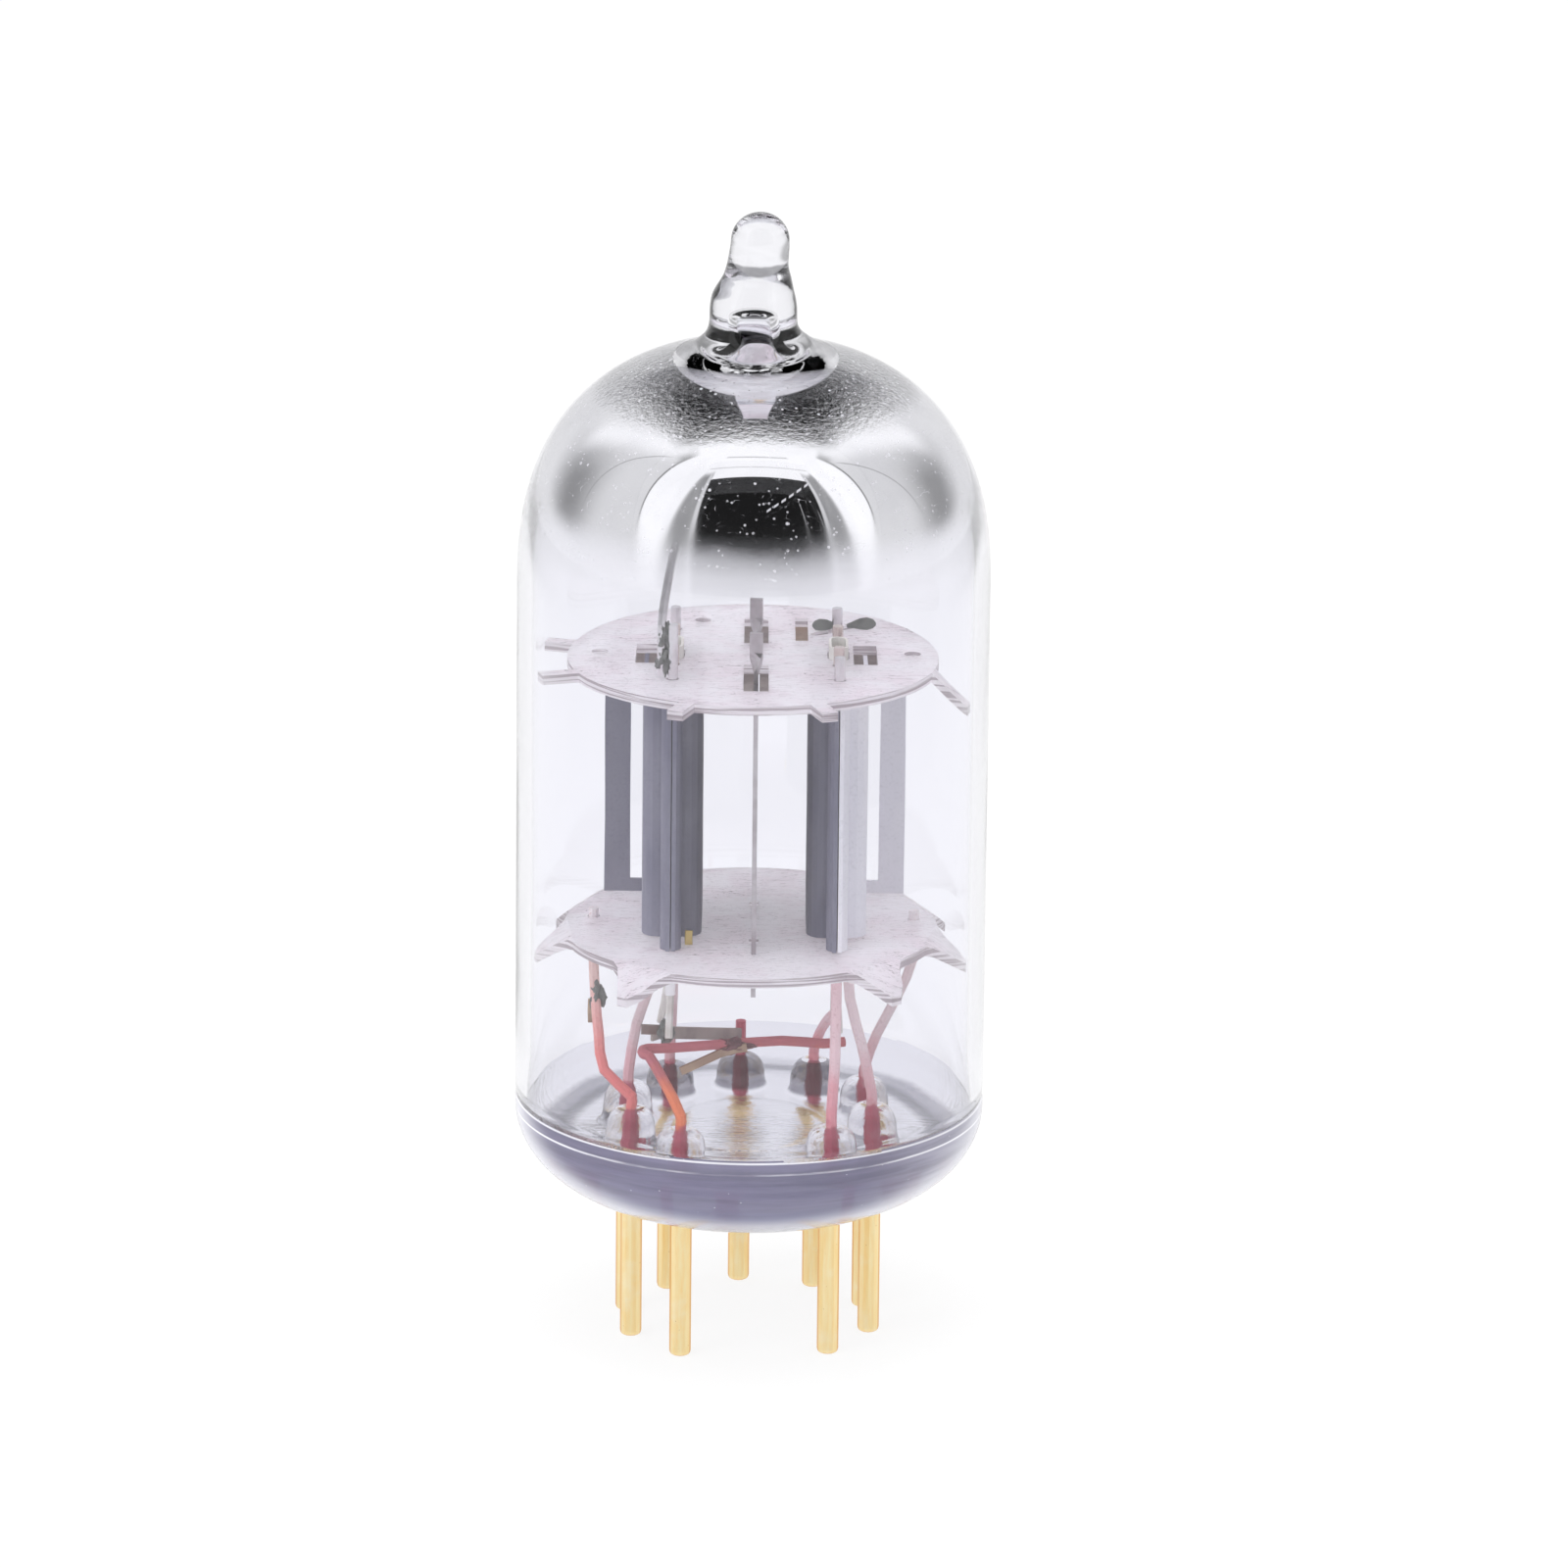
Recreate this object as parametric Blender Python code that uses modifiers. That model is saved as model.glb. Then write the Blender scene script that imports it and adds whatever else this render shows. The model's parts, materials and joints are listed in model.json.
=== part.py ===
"""Miniature nine-pin double triode in a blown glass envelope, standing on its pins.

Metres, +Z up. The origin is on the tube's axis at the pin tips, and -Y is the front,
where the circle of pins has its gap. The two triodes stand left and right of the axis.
"""

import math

import bmesh
import bpy
from mathutils import Matrix, Vector

# Clearance between pieces that are welded, fused or pressed together on the real tube.
SEAT_GAP = 0.00005

# Pins
PIN_DIAMETER = 0.001016
PIN_LENGTH = 0.00635
PIN_CIRCLE_RADIUS = 0.005945
PIN_PLACES = 10
PIN_COUNT = 9
PIN_TURN = math.radians(4.1)
PIN_ROOT = 0.00125
PIN_END_FLAT = 0.00038
PIN_END_ROUND = 0.0002

# Glass base
BASE_FLAT_RADIUS = 0.0044
BASE_SIDE_HEIGHT = 0.00465
BASE_RIM_HEIGHT = 0.0006
BASE_FLOOR_THICKNESS = 0.0035
BASE_FLOOR_FILLET = 0.0011
BEAD_RADIUS = 0.00118
BEAD_TOP_RADIUS = 0.00062
BEAD_HEIGHT = 0.0016
BEAD_ROUND = 0.0012
BEAD_ROOT = 0.0004

# Glass envelope
BULB_RADIUS = 0.01108
GLASS_WALL = 0.00075
BULB_SIDE_HEIGHT = 0.02485
DOME_HEIGHT = 0.01145
DOME_FULLNESS = 2.4
NECK_RADIUS = 0.00205
NECK_HEIGHT = 0.0014
NECK_ABOVE_DOME = 0.00035
NECK_FLARE = 0.0006
NECK_FLARE_HEIGHT = 0.0005
TIP_RADIUS = 0.00135
TIP_HEIGHT = 0.00455
TIP_ROUND = 0.001
TIP_FLARE_HEIGHT = 0.0012
TIP_LEAN = 0.00015
DOME_TOP_WALL = 0.0011
GLASS_STEPS = 40

# Electrode stack
STACK_SHIFT = 0.00015
SECTION_FROM_EDGE = 0.00485
LOWER_MICA_TOP = 0.01987
MICA_SPACING = 0.01316
MICA_THICKNESS = 0.00045
MICA_GLASS_CLEARANCE = 0.00012
HOLE_CLEARANCE = 0.00006

TAB_LENGTH = 0.00151
TAB_WIDTH = 0.00075
TAB_ANGLES = (168.0, 201.0, 250.0, 290.0, 343.0)
BENT_TAB_DROOP = 0.0015
TOOTH_LENGTH = 0.00141
TOOTH_ANGLES = (22.0, 52.0, 128.0, 158.0, 189.0, 236.0, 311.0, 347.0)
TOOTH_HALF_ANGLE = 12.0
TOOTH_TIP_HALF_ANGLE = 2.6
TOOTH_HOLLOW = 2.2
TOOTH_DROOP = 0.0011
DROOP_START = 0.97

# Anodes
ANODE_HALF_WIDTH = 0.0014
ANODE_HALF_LENGTH = 0.0025
ANODE_CORNER = 0.0007
ANODE_SHEET = 0.0002
FLANGE_REACH = 0.0048
ROD_DIAMETER = 0.0005
ANODE_ROD_PLACE = 0.0042
ROD_BELOW = 0.0018
ROD_ABOVE = 0.0011
GETTER_ROD_ABOVE = 0.0026
WING_GLASS_CLEARANCE = 0.0015
WING_WINDOW_START = 0.0011
WING_STRIP_WIDTH = 0.00125
WING_BRIDGE = 0.0006

# Grids, cathodes and heaters
GRID_ROD_PLACE = 0.00175
GRID_ROD_BELOW = 0.0013
GRID_ROD_ABOVE = 0.0009
WINDING_WIRE = 0.0001
WINDING_HALF_WIDTH = 0.0008
WINDING_HALF_LENGTH = 0.0021
WINDING_PITCH = 0.0008
WINDING_END_GAP = 0.0008
CATHODE_WIDTH = 0.0009
CATHODE_LENGTH = 0.002
CATHODE_WALL = 0.00012
CATHODE_BELOW = 0.001
CATHODE_ABOVE = 0.0006
HEATER_WIRE = 0.00036
HEATER_HALF_SPREAD = 0.00042
HEATER_TOP_GAP = 0.0012

# Centre shield
SHIELD_SHEET = 0.00022
SHIELD_HALF_LENGTH = 0.0052
SHIELD_TAB_PLACE = 0.003
SHIELD_TAB_WIDTH = 0.0006
SHIELD_TAB_ABOVE = 0.0019
SHIELD_TAB_BELOW = 0.0022
SHIELD_TAB_TWIST = math.radians(80.0)
SHIELD_TWIST_END = 0.5
SHIELD_SLOT_WIDTH = 0.00115
SHIELD_SLOT_START = 0.0018
SHIELD_SLOT_END = 0.0062

# Other holes in the upper mica, from the stack's centre
WINDOW_START = 0.0018
WINDOW_REACH = 0.0011
WINDOW_HALF_LENGTH = 0.0016
LEAK_SLOT_WIDTH = 0.0006
LEAK_SLOT_LENGTH = 0.0039
LEAK_SLOT_BEHIND = 0.00425
LEAK_SLOT_SHARE = 0.53
SIDE_HOLE_FROM_EDGE = 0.00135
SIDE_HOLE_BEHIND = 0.0003
BACK_HOLE_PLACE = (0.00256, 0.00576)
SMALL_HOLE_RADIUS = 0.0004
SPLIT_SLOT_CLEARANCE = 0.00012
SPLIT_SPREAD = 21.0
SPLIT_ANGLES = (43.0, 140.0, 214.0)

# Leads
LEAD_DIAMETER = 0.0005
LEAD_ANCHOR_FROM_EDGE = 0.0012
LEAD_ANCHOR_BEHIND = 0.00084
LEAD_ANCHOR_ABOVE = 0.0004
LEAD_STRAIGHT = 0.0005
LEAD_WELD_BELOW = 0.0006
HEATER_BUS_ABOVE_BEADS = 0.00255
HEATER_BUS_TURN = (0.00176, 0.00311)
HEATER_BUS_RISE = 0.00055
HEATER_BUS_DROPS = ((0.17, 0.2), (0.7, 0.4), (0.9, 1.0))
HEATER_BUS_BEND = 0.00045
HEATER_BUS_PAST = 0.0005
SUPPLY_INSIDE_PIN = 0.00152
SUPPLY_BEHIND = 0.00134
LINK_SHEET = 0.00014
LINK_WIDTH = 0.0006
LINK_BELOW = 0.0003
LINK_ABOVE_BEAD = 0.0008

# Getter
GETTER_RING_RADIUS = 0.0032
GETTER_RING_HEIGHT = 0.0083
GETTER_CHANNEL_WIDTH = 0.0009
GETTER_CHANNEL_DEPTH = 0.0007
GETTER_CHANNEL_SHEET = 0.0002
GETTER_WIRE = 0.0004
GETTER_STEPS = 28

# Places that follow from the sizes above
SEAT_Z = PIN_LENGTH
SIDE_TOP_Z = SEAT_Z + BASE_SIDE_HEIGHT
RIM_Z = SIDE_TOP_Z + BASE_RIM_HEIGHT
FLOOR_Z = SEAT_Z + BASE_FLOOR_THICKNESS
BEAD_Z = FLOOR_Z + BEAD_HEIGHT
PIN_TOP_Z = SEAT_Z + PIN_ROOT
SHOULDER_Z = RIM_Z + SEAT_GAP + BULB_SIDE_HEIGHT
DOME_TOP_Z = SHOULDER_Z + DOME_HEIGHT
INNER_RADIUS = BULB_RADIUS - GLASS_WALL
MICA_TIP_RADIUS = INNER_RADIUS - MICA_GLASS_CLEARANCE
UPPER_MICA_RADIUS = MICA_TIP_RADIUS - TAB_LENGTH
LOWER_MICA_RADIUS = MICA_TIP_RADIUS - TOOTH_LENGTH
SECTION_SPREAD = UPPER_MICA_RADIUS - SECTION_FROM_EDGE
LOWER_MICA_BOTTOM = LOWER_MICA_TOP - MICA_THICKNESS
UPPER_MICA_TOP = LOWER_MICA_TOP + MICA_SPACING
UPPER_MICA_BOTTOM = UPPER_MICA_TOP - MICA_THICKNESS
ANODE_BOTTOM = LOWER_MICA_TOP + SEAT_GAP
ANODE_TOP = UPPER_MICA_BOTTOM - SEAT_GAP
ROD_RADIUS = ROD_DIAMETER / 2
ROD_HOLE_RADIUS = ROD_RADIUS + HOLE_CLEARANCE
LEAK_SLOT_ROOM = SECTION_SPREAD - ROD_HOLE_RADIUS - SHIELD_SLOT_WIDTH / 2
LEAK_SLOT_X = SHIELD_SLOT_WIDTH / 2 + LEAK_SLOT_ROOM * LEAK_SLOT_SHARE
SPLIT_REACH = SECTION_SPREAD - LEAK_SLOT_X - LEAK_SLOT_WIDTH / 2 - SPLIT_SLOT_CLEARANCE
LEAD_RADIUS = LEAD_DIAMETER / 2
WELD_OFFSET = ROD_RADIUS + LEAD_RADIUS + SEAT_GAP
LEAD_BEND_Z = BEAD_Z + LEAD_STRAIGHT
LEAD_WELD_Z = LOWER_MICA_BOTTOM - LEAD_WELD_BELOW
LEAD_ANCHOR_X = LOWER_MICA_RADIUS - LEAD_ANCHOR_FROM_EDGE
HEATER_BUS_Z = BEAD_Z + HEATER_BUS_ABOVE_BEADS
WING_CORNER_X = math.sqrt((INNER_RADIUS - WING_GLASS_CLEARANCE) ** 2 - FLANGE_REACH**2)
WING_REACH = WING_CORNER_X - SECTION_SPREAD - STACK_SHIFT

SIDES = {"left": -1, "right": 1}


def clear_scene():
    for obj in list(bpy.data.objects):
        bpy.data.objects.remove(obj, do_unlink=True)


def new_collection(name):
    collection = bpy.data.collections.new(name)
    bpy.context.scene.collection.children.link(collection)
    return collection


def material(name, colour, roughness, metallic=0.0, transmission=0.0):
    made = bpy.data.materials.new(name)
    made.use_nodes = True
    shader = made.node_tree.nodes["Principled BSDF"]
    shader.inputs["Base Color"].default_value = (*colour, 1.0)
    shader.inputs["Roughness"].default_value = roughness
    shader.inputs["Metallic"].default_value = metallic
    shader.inputs["Transmission Weight"].default_value = transmission
    return made


def place(obj, surface):
    """Links an object as one piece of the tube, with its material."""
    tube.objects.link(obj)
    obj.data.materials.append(surface)


def as_cutter(obj, collection):
    """Links an object as a guide for a Boolean, which no render shows."""
    collection.objects.link(obj)
    obj.hide_render = True
    obj.display_type = "WIRE"
    return obj


def turned(name, profile, steps, closed=False):
    """A solid turned round Z from (radius, height) points that run down its outer side."""
    mesh = bpy.data.meshes.new(name)
    edges = [(i, i + 1) for i in range(len(profile) - 1)]
    if closed:
        edges.append((len(profile) - 1, 0))
    mesh.from_pydata([(r, 0.0, z) for r, z in profile], edges, [])
    obj = bpy.data.objects.new(name, mesh)
    screw = obj.modifiers.new("turn", "SCREW")
    screw.steps = steps
    screw.render_steps = steps
    screw.use_merge_vertices = True
    screw.merge_threshold = 0.000002
    screw.use_smooth_shade = True
    return obj


def plate(name, outlines, bottom, top):
    """A flat sheet between two heights. The first outline is its edge, the others are its holes."""
    curve = bpy.data.curves.new(name, "CURVE")
    curve.dimensions = "2D"
    curve.fill_mode = "BOTH"
    curve.extrude = (top - bottom) / 2
    for outline in outlines:
        spline = curve.splines.new("POLY")
        spline.points.add(len(outline) - 1)
        for point, (x, y) in zip(spline.points, outline):
            point.co = (x, y, 0.0, 1.0)
        spline.use_cyclic_u = True
    obj = bpy.data.objects.new(name, curve)
    obj.location.z = (top + bottom) / 2
    return obj


def wire(name, points, diameter, resolution=2):
    """A round wire with closed ends along a list of points."""
    curve = bpy.data.curves.new(name, "CURVE")
    curve.dimensions = "3D"
    curve.bevel_depth = diameter / 2
    curve.bevel_resolution = resolution
    curve.use_fill_caps = True
    spline = curve.splines.new("POLY")
    spline.points.add(len(points) - 1)
    for point, spot in zip(spline.points, points):
        point.co = (*spot, 1.0)
    return bpy.data.objects.new(name, curve)


def as_mesh(obj):
    """The object's evaluated shape as a mesh object of the same name, with its caps welded."""
    name = obj.name
    bpy.context.scene.collection.objects.link(obj)
    bpy.context.view_layer.update()
    graph = bpy.context.evaluated_depsgraph_get()
    mesh = bpy.data.meshes.new_from_object(obj.evaluated_get(graph))
    matrix = obj.matrix_world.copy()
    bpy.data.objects.remove(obj, do_unlink=True)
    mesh.name = name
    shape = bmesh.new()
    shape.from_mesh(mesh)
    bmesh.ops.remove_doubles(shape, verts=shape.verts, dist=0.000001)
    shape.to_mesh(mesh)
    shape.free()
    made = bpy.data.objects.new(name, mesh)
    made.matrix_world = matrix
    return made


def box_cutter(name, low, high, collection):
    mesh = bpy.data.meshes.new(name)
    shape = bmesh.new()
    size = Vector(high) - Vector(low)
    middle = (Vector(high) + Vector(low)) / 2
    frame = Matrix.Translation(middle) @ Matrix.Diagonal((*size, 1.0))
    bmesh.ops.create_cube(shape, size=1.0, matrix=frame)
    shape.to_mesh(mesh)
    shape.free()
    return as_cutter(bpy.data.objects.new(name, mesh), collection)


def boolean(obj, operation, other):
    """Adds a Boolean with one object, or with all the objects of a collection."""
    modifier = obj.modifiers.new(operation.lower(), "BOOLEAN")
    modifier.operation = operation
    if isinstance(other, bpy.types.Collection):
        modifier.operand_type = "COLLECTION"
        modifier.collection = other
    else:
        modifier.object = other


def smooth_edges(obj, angle=35.0):
    obj.data.shade_smooth()
    obj.data.set_sharp_from_angle(angle=math.radians(angle))


def arc(centre, radius, start, end, count, height=None):
    """Points on a round or oval arc, with angles in degrees, both ends included."""
    height = radius if height is None else height
    points = []
    for i in range(count + 1):
        angle = math.radians(start + (end - start) * i / count)
        points.append((centre[0] + radius * math.cos(angle), centre[1] + height * math.sin(angle)))
    return points


def circle(centre, radius, count=12):
    return arc(centre, radius, 0.0, 360.0, count)[:-1]


def rectangle(centre, width, length):
    x, y = centre
    return [
        (x - width / 2, y - length / 2),
        (x + width / 2, y - length / 2),
        (x + width / 2, y + length / 2),
        (x - width / 2, y + length / 2),
    ]


def oblong(centre, width, length, count=6):
    """A slot with round ends, longer along Y."""
    x, y = centre
    reach = (length - width) / 2
    return arc((x, y + reach), width / 2, 0.0, 180.0, count) + arc(
        (x, y - reach), width / 2, 180.0, 360.0, count
    )


def smooth_route(points, steps=3):
    """A smooth curve through the route's own points, also where they are unevenly spaced."""
    places = [Vector(p) for p in points]
    ends = [2 * places[0] - places[1], *places, 2 * places[-1] - places[-2]]
    headings = [(after - before).normalized() for before, after in zip(ends, ends[2:])]
    route = []
    for start, end, leaving, arriving in zip(places, places[1:], headings, headings[1:]):
        length = (end - start).length
        for i in range(steps):
            t = i / steps
            bend = leaving * (t * (1 - t) ** 2) - arriving * (t**2 * (1 - t))
            route.append(start.lerp(end, t * t * (3 - 2 * t)) + bend * length)
    route.append(places[-1])
    return [tuple(p) for p in route]


def rounded(before, corner, after, radius, count=5):
    """A corner of a route, as points on an arc that touches both of its legs."""
    before, corner, after = Vector(before), Vector(corner), Vector(after)
    inward, outward = (before - corner).normalized(), (after - corner).normalized()
    half = inward.angle(outward) / 2
    centre = corner + (inward + outward).normalized() * (radius / math.sin(half))
    reach = corner + inward * (radius / math.tan(half)) - centre
    axis = outward.cross(inward)
    points = []
    for i in range(count + 1):
        turn = Matrix.Rotation((math.pi - 2 * half) * i / count, 3, axis)
        points.append(tuple(centre + turn @ reach))
    return points


def thickened(path, thickness):
    """The closed outline of a folded sheet, from the middle line of its section."""
    left, right = [], []
    for i, point in enumerate(path):
        here = Vector(point)
        before = Vector(path[max(i - 1, 0)])
        after = Vector(path[min(i + 1, len(path) - 1)])
        into = (here - before).normalized() if i > 0 else (after - here).normalized()
        out = (after - here).normalized() if i < len(path) - 1 else into
        normal = Vector((-(into.y + out.y), into.x + out.x)).normalized()
        reach = thickness / 2 / max(normal.dot(Vector((-into.y, into.x))), 0.5)
        left.append(tuple(here + normal * reach))
        right.append(tuple(here - normal * reach))
    return left + right[::-1]


def pin_place(number):
    """The centre of a pin, numbered as from the gap at the front."""
    angle = PIN_TURN + 2 * math.pi * number / PIN_PLACES
    return PIN_CIRCLE_RADIUS * math.sin(angle), -PIN_CIRCLE_RADIUS * math.cos(angle)


def dome_profile(radius, shoulder, height, until, count):
    """Points up a dome that is fuller than a ball, from its shoulder to a given radius."""
    last = math.acos((until / radius) ** (DOME_FULLNESS / 2))
    points = []
    for i in range(count + 1):
        angle = last * i / count
        points.append(
            (
                radius * math.cos(angle) ** (2 / DOME_FULLNESS),
                shoulder + height * math.sin(angle) ** (2 / DOME_FULLNESS),
            )
        )
    return points


def make_envelope():
    """The blown envelope: straight side, dome, drawn neck and the closed exhaust tip."""
    dome_end = NECK_RADIUS + 3 * NECK_FLARE
    dome = dome_profile(BULB_RADIUS, SHOULDER_Z, DOME_HEIGHT, dome_end, 11)
    neck_z = DOME_TOP_Z + NECK_ABOVE_DOME
    tip_z = neck_z + NECK_HEIGHT
    end_z = tip_z + TIP_HEIGHT
    outer = arc((0.0, end_z - TIP_ROUND), TIP_RADIUS, 90.0, 0.0, 3, TIP_ROUND)
    for i in range(4):
        share = (1 - math.cos(math.pi * i / 3)) / 2
        radius = TIP_RADIUS + (NECK_RADIUS - TIP_RADIUS) * share
        outer.append((radius, tip_z + TIP_FLARE_HEIGHT * (1 - i / 3)))
    flare_centre = (NECK_RADIUS + NECK_FLARE, neck_z + NECK_FLARE_HEIGHT / 2)
    outer += arc(flare_centre, NECK_FLARE, 180.0, 270.0, 3, NECK_FLARE_HEIGHT)
    outer += dome[::-1]
    outer.append((BULB_RADIUS, RIM_Z + SEAT_GAP))
    inner_height = DOME_HEIGHT - DOME_TOP_WALL
    inner = dome_profile(INNER_RADIUS, SHOULDER_Z, inner_height, 0.0, 9)
    inner.insert(0, (INNER_RADIUS, RIM_Z + SEAT_GAP))
    envelope = as_mesh(turned("glass_envelope", outer + inner, GLASS_STEPS))
    for vertex in envelope.data.vertices:
        share = (vertex.co.z - tip_z) / TIP_HEIGHT
        vertex.co.x += TIP_LEAN * min(max(share, 0.0), 1.0)
    envelope.data.shade_smooth()
    place(envelope, glass)


def make_base():
    """The pressed glass base, with a bead round each lead and a stepped hole for each pin."""
    profile = [(0.0, FLOOR_Z)]
    fillet_centre = (INNER_RADIUS - BASE_FLOOR_FILLET, FLOOR_Z + BASE_FLOOR_FILLET)
    profile += arc(fillet_centre, BASE_FLOOR_FILLET, -90.0, 0.0, 4)
    profile += [(INNER_RADIUS, RIM_Z), (BULB_RADIUS, RIM_Z)]
    side = BULB_RADIUS - BASE_FLAT_RADIUS
    profile += arc((BASE_FLAT_RADIUS, SIDE_TOP_Z), side, 0.0, -90.0, 8, BASE_SIDE_HEIGHT)
    profile.append((0.0, SEAT_Z))
    base = turned("glass_base", profile, GLASS_STEPS)
    beads = new_collection("base_beads")
    holes = new_collection("base_holes")
    hole_radius = LEAD_RADIUS + SEAT_GAP
    pin_hole_radius = PIN_DIAMETER / 2 + SEAT_GAP
    for number in range(1, PIN_COUNT + 1):
        x, y = pin_place(number)
        bead_side = BEAD_RADIUS - BEAD_TOP_RADIUS
        bead_profile = [(0.0, BEAD_Z)]
        bead_profile += arc((BEAD_TOP_RADIUS, BEAD_Z - BEAD_ROUND), bead_side, 90.0, 0.0, 2, BEAD_ROUND)
        bead_profile += [(BEAD_RADIUS, FLOOR_Z - BEAD_ROOT), (0.0, FLOOR_Z - BEAD_ROOT)]
        bead = as_cutter(turned(f"bead_{number}", bead_profile, 10), beads)
        hole_profile = [(0.0, RIM_Z), (hole_radius, RIM_Z), (hole_radius, PIN_TOP_Z + SEAT_GAP)]
        hole_profile += [(pin_hole_radius, PIN_TOP_Z + SEAT_GAP), (pin_hole_radius, 0.0), (0.0, 0.0)]
        hole = as_cutter(turned(f"pin_hole_{number}", hole_profile, 10), holes)
        bead.location = hole.location = (x, y, 0.0)
    boolean(base, "UNION", beads)
    boolean(base, "DIFFERENCE", holes)
    place(base, base_glass)


def make_pins():
    """Stiff pins with rounded ends, each ending inside the glass of the base."""
    radius = PIN_DIAMETER / 2
    profile = [(0.0, PIN_TOP_Z), (radius, PIN_TOP_Z)]
    profile += arc((PIN_END_FLAT, PIN_END_ROUND), radius - PIN_END_FLAT, 0.0, -90.0, 2, PIN_END_ROUND)
    profile.append((0.0, 0.0))
    for number in range(1, PIN_COUNT + 1):
        pin = turned(f"base_pin_{number}", profile, 12)
        pin.location = (*pin_place(number), 0.0)
        place(pin, gold)


def section_x(side):
    return STACK_SHIFT + SIDES[side] * SECTION_SPREAD


def anode_rod_place(side, end):
    """The foot of an anode rod: end is -1 in front and 1 behind."""
    return section_x(side), end * ANODE_ROD_PLACE


def grid_rod_place(side, end):
    return section_x(side), end * GRID_ROD_PLACE


def along(start, end, steps):
    """Points on the way between two places, as (share in plan, share of the rise, metres aside)."""
    start, end = Vector(start), Vector(end)
    way = end - start
    aside = Vector((-way.y, way.x, 0.0)).normalized()
    points = []
    for share, rise, offset in steps:
        point = Vector((start.x + way.x * share, start.y + way.y * share, start.z + way.z * rise))
        points.append(tuple(point + aside * offset))
    return points


def heater_bus():
    """Where the centre-tap lead turns in front of the left triode, and where it ends at the right one."""
    turn_z = HEATER_BUS_Z + HEATER_BUS_RISE
    turn = (section_x("left") - HEATER_BUS_TURN[0], -HEATER_BUS_TURN[1], turn_z)
    end = (section_x("right") + HEATER_BUS_PAST, 0.0, HEATER_BUS_Z)
    return turn, end


def supply_place(side):
    """The lower end of a heater's supply leg."""
    if side == "left":
        height = HEATER_BUS_Z + LEAD_RADIUS + SEAT_GAP + HEATER_WIRE / 2
        return pin_place(7)[0] + SUPPLY_INSIDE_PIN, SUPPLY_BEHIND, height
    return section_x(side), SUPPLY_BEHIND, HEATER_BUS_Z + 2 * LEAD_DIAMETER


def anchor_place(side):
    return STACK_SHIFT + SIDES[side] * LEAD_ANCHOR_X, LEAD_ANCHOR_BEHIND


def lead_routes():
    """Each lead's route above its bead, in the order of the pins."""
    feet = {number: (*pin_place(number), LEAD_BEND_Z) for number in range(1, PIN_COUNT + 1)}
    right, left = section_x("right"), section_x("left")
    right_anode = (right, -ANODE_ROD_PLACE - WELD_OFFSET, LEAD_WELD_Z)
    left_anode = (left, ANODE_ROD_PLACE + WELD_OFFSET, LEAD_WELD_Z)
    right_grid = (right + WELD_OFFSET, -GRID_ROD_PLACE, LEAD_WELD_Z)
    left_grid = (left - WELD_OFFSET, GRID_ROD_PLACE, LEAD_WELD_Z)
    below_anchor = LOWER_MICA_BOTTOM - 2 * LINK_WIDTH - LINK_BELOW
    anchor_top = LOWER_MICA_TOP + LEAD_ANCHOR_ABOVE
    right_cathode = (*anchor_place("right"), below_anchor)
    left_cathode = (*anchor_place("left"), below_anchor)
    supply_x, supply_y, supply_z = supply_place("right")
    supply = (supply_x, supply_y + WELD_OFFSET, supply_z - LEAD_RADIUS)
    turn, bus_end = heater_bus()
    return {
        1: along(feet[1], right_anode, [(0.8, 0.35, 0.0), (1.0, 1.0, 0.0)]),
        2: along(feet[2], right_grid, [(0.4, 0.35, 0.0), (0.88, 0.69, 0.0), (1.0, 1.0, 0.0)]),
        3: along(feet[3], right_cathode, [(0.26, 0.31, 0.0), (0.7, 0.68, 0.0), (1.0, 1.0, 0.0)])
        + [(*anchor_place("right"), anchor_top)],
        4: along(feet[4], supply, [(0.33, 0.45, 0.0), (0.75, 0.83, 0.0), (1.0, 1.0, 0.0)]),
        5: [(*pin_place(5), BEAD_Z + LINK_ABOVE_BEAD + LINK_WIDTH + LEAD_DIAMETER / 2)],
        6: along(feet[6], left_anode, [(0.9, 0.41, 0.0), (1.0, 1.0, 0.0)]),
        7: along(feet[7], left_grid, [(0.25, 0.35, 0.0), (0.77, 0.69, 0.0), (1.0, 1.0, 0.0)]),
        8: along(
            feet[8], left_cathode,
            [(0.29, 0.19, 0.00086), (0.54, 0.43, 0.00063), (0.78, 0.68, 0.00032), (1.0, 1.0, 0.0)],
        )
        + [(*anchor_place("left"), anchor_top)],
        9: along(feet[9], turn, [(0.35, 0.55, 0.0), (0.65, 0.95, 0.0)])
        + rounded(along(feet[9], turn, [(0.65, 0.95, 0.0)])[0], turn, bus_end, HEATER_BUS_BEND)
        + along(turn, bus_end, [(share, drop, 0.0) for share, drop in HEATER_BUS_DROPS] + [(1.0, 1.0, 0.0)]),
    }


def make_leads():
    """The inner leads: a seal section in the glass, then a bend up to what each one feeds."""
    for number, route in lead_routes().items():
        x, y = pin_place(number)
        foot = [(x, y, PIN_TOP_Z + 2 * SEAT_GAP), (x, y, BEAD_Z), (x, y, LEAD_BEND_Z)]
        lead = wire(f"lead_wire_{number}", foot[:1] + smooth_route(foot[1:] + route, 2), LEAD_DIAMETER)
        place(lead, lead_metal)


def split_hole(centre, radius):
    """A rod hole with leaf-shaped splits that let the mica grip the rod."""
    points = []
    towards_slot = max(-math.cos(math.radians(angle)) for angle in SPLIT_ANGLES)
    split_length = SPLIT_REACH / towards_slot - radius
    for degrees in range(0, 360, 5):
        reach = radius
        for split in SPLIT_ANGLES:
            away = abs((degrees - split + 180.0) % 360.0 - 180.0)
            reach += split_length * math.exp(-((away / SPLIT_SPREAD) ** 2))
        angle = math.radians(degrees)
        points.append((centre[0] + reach * math.cos(angle), centre[1] + reach * math.sin(angle)))
    return points


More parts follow.
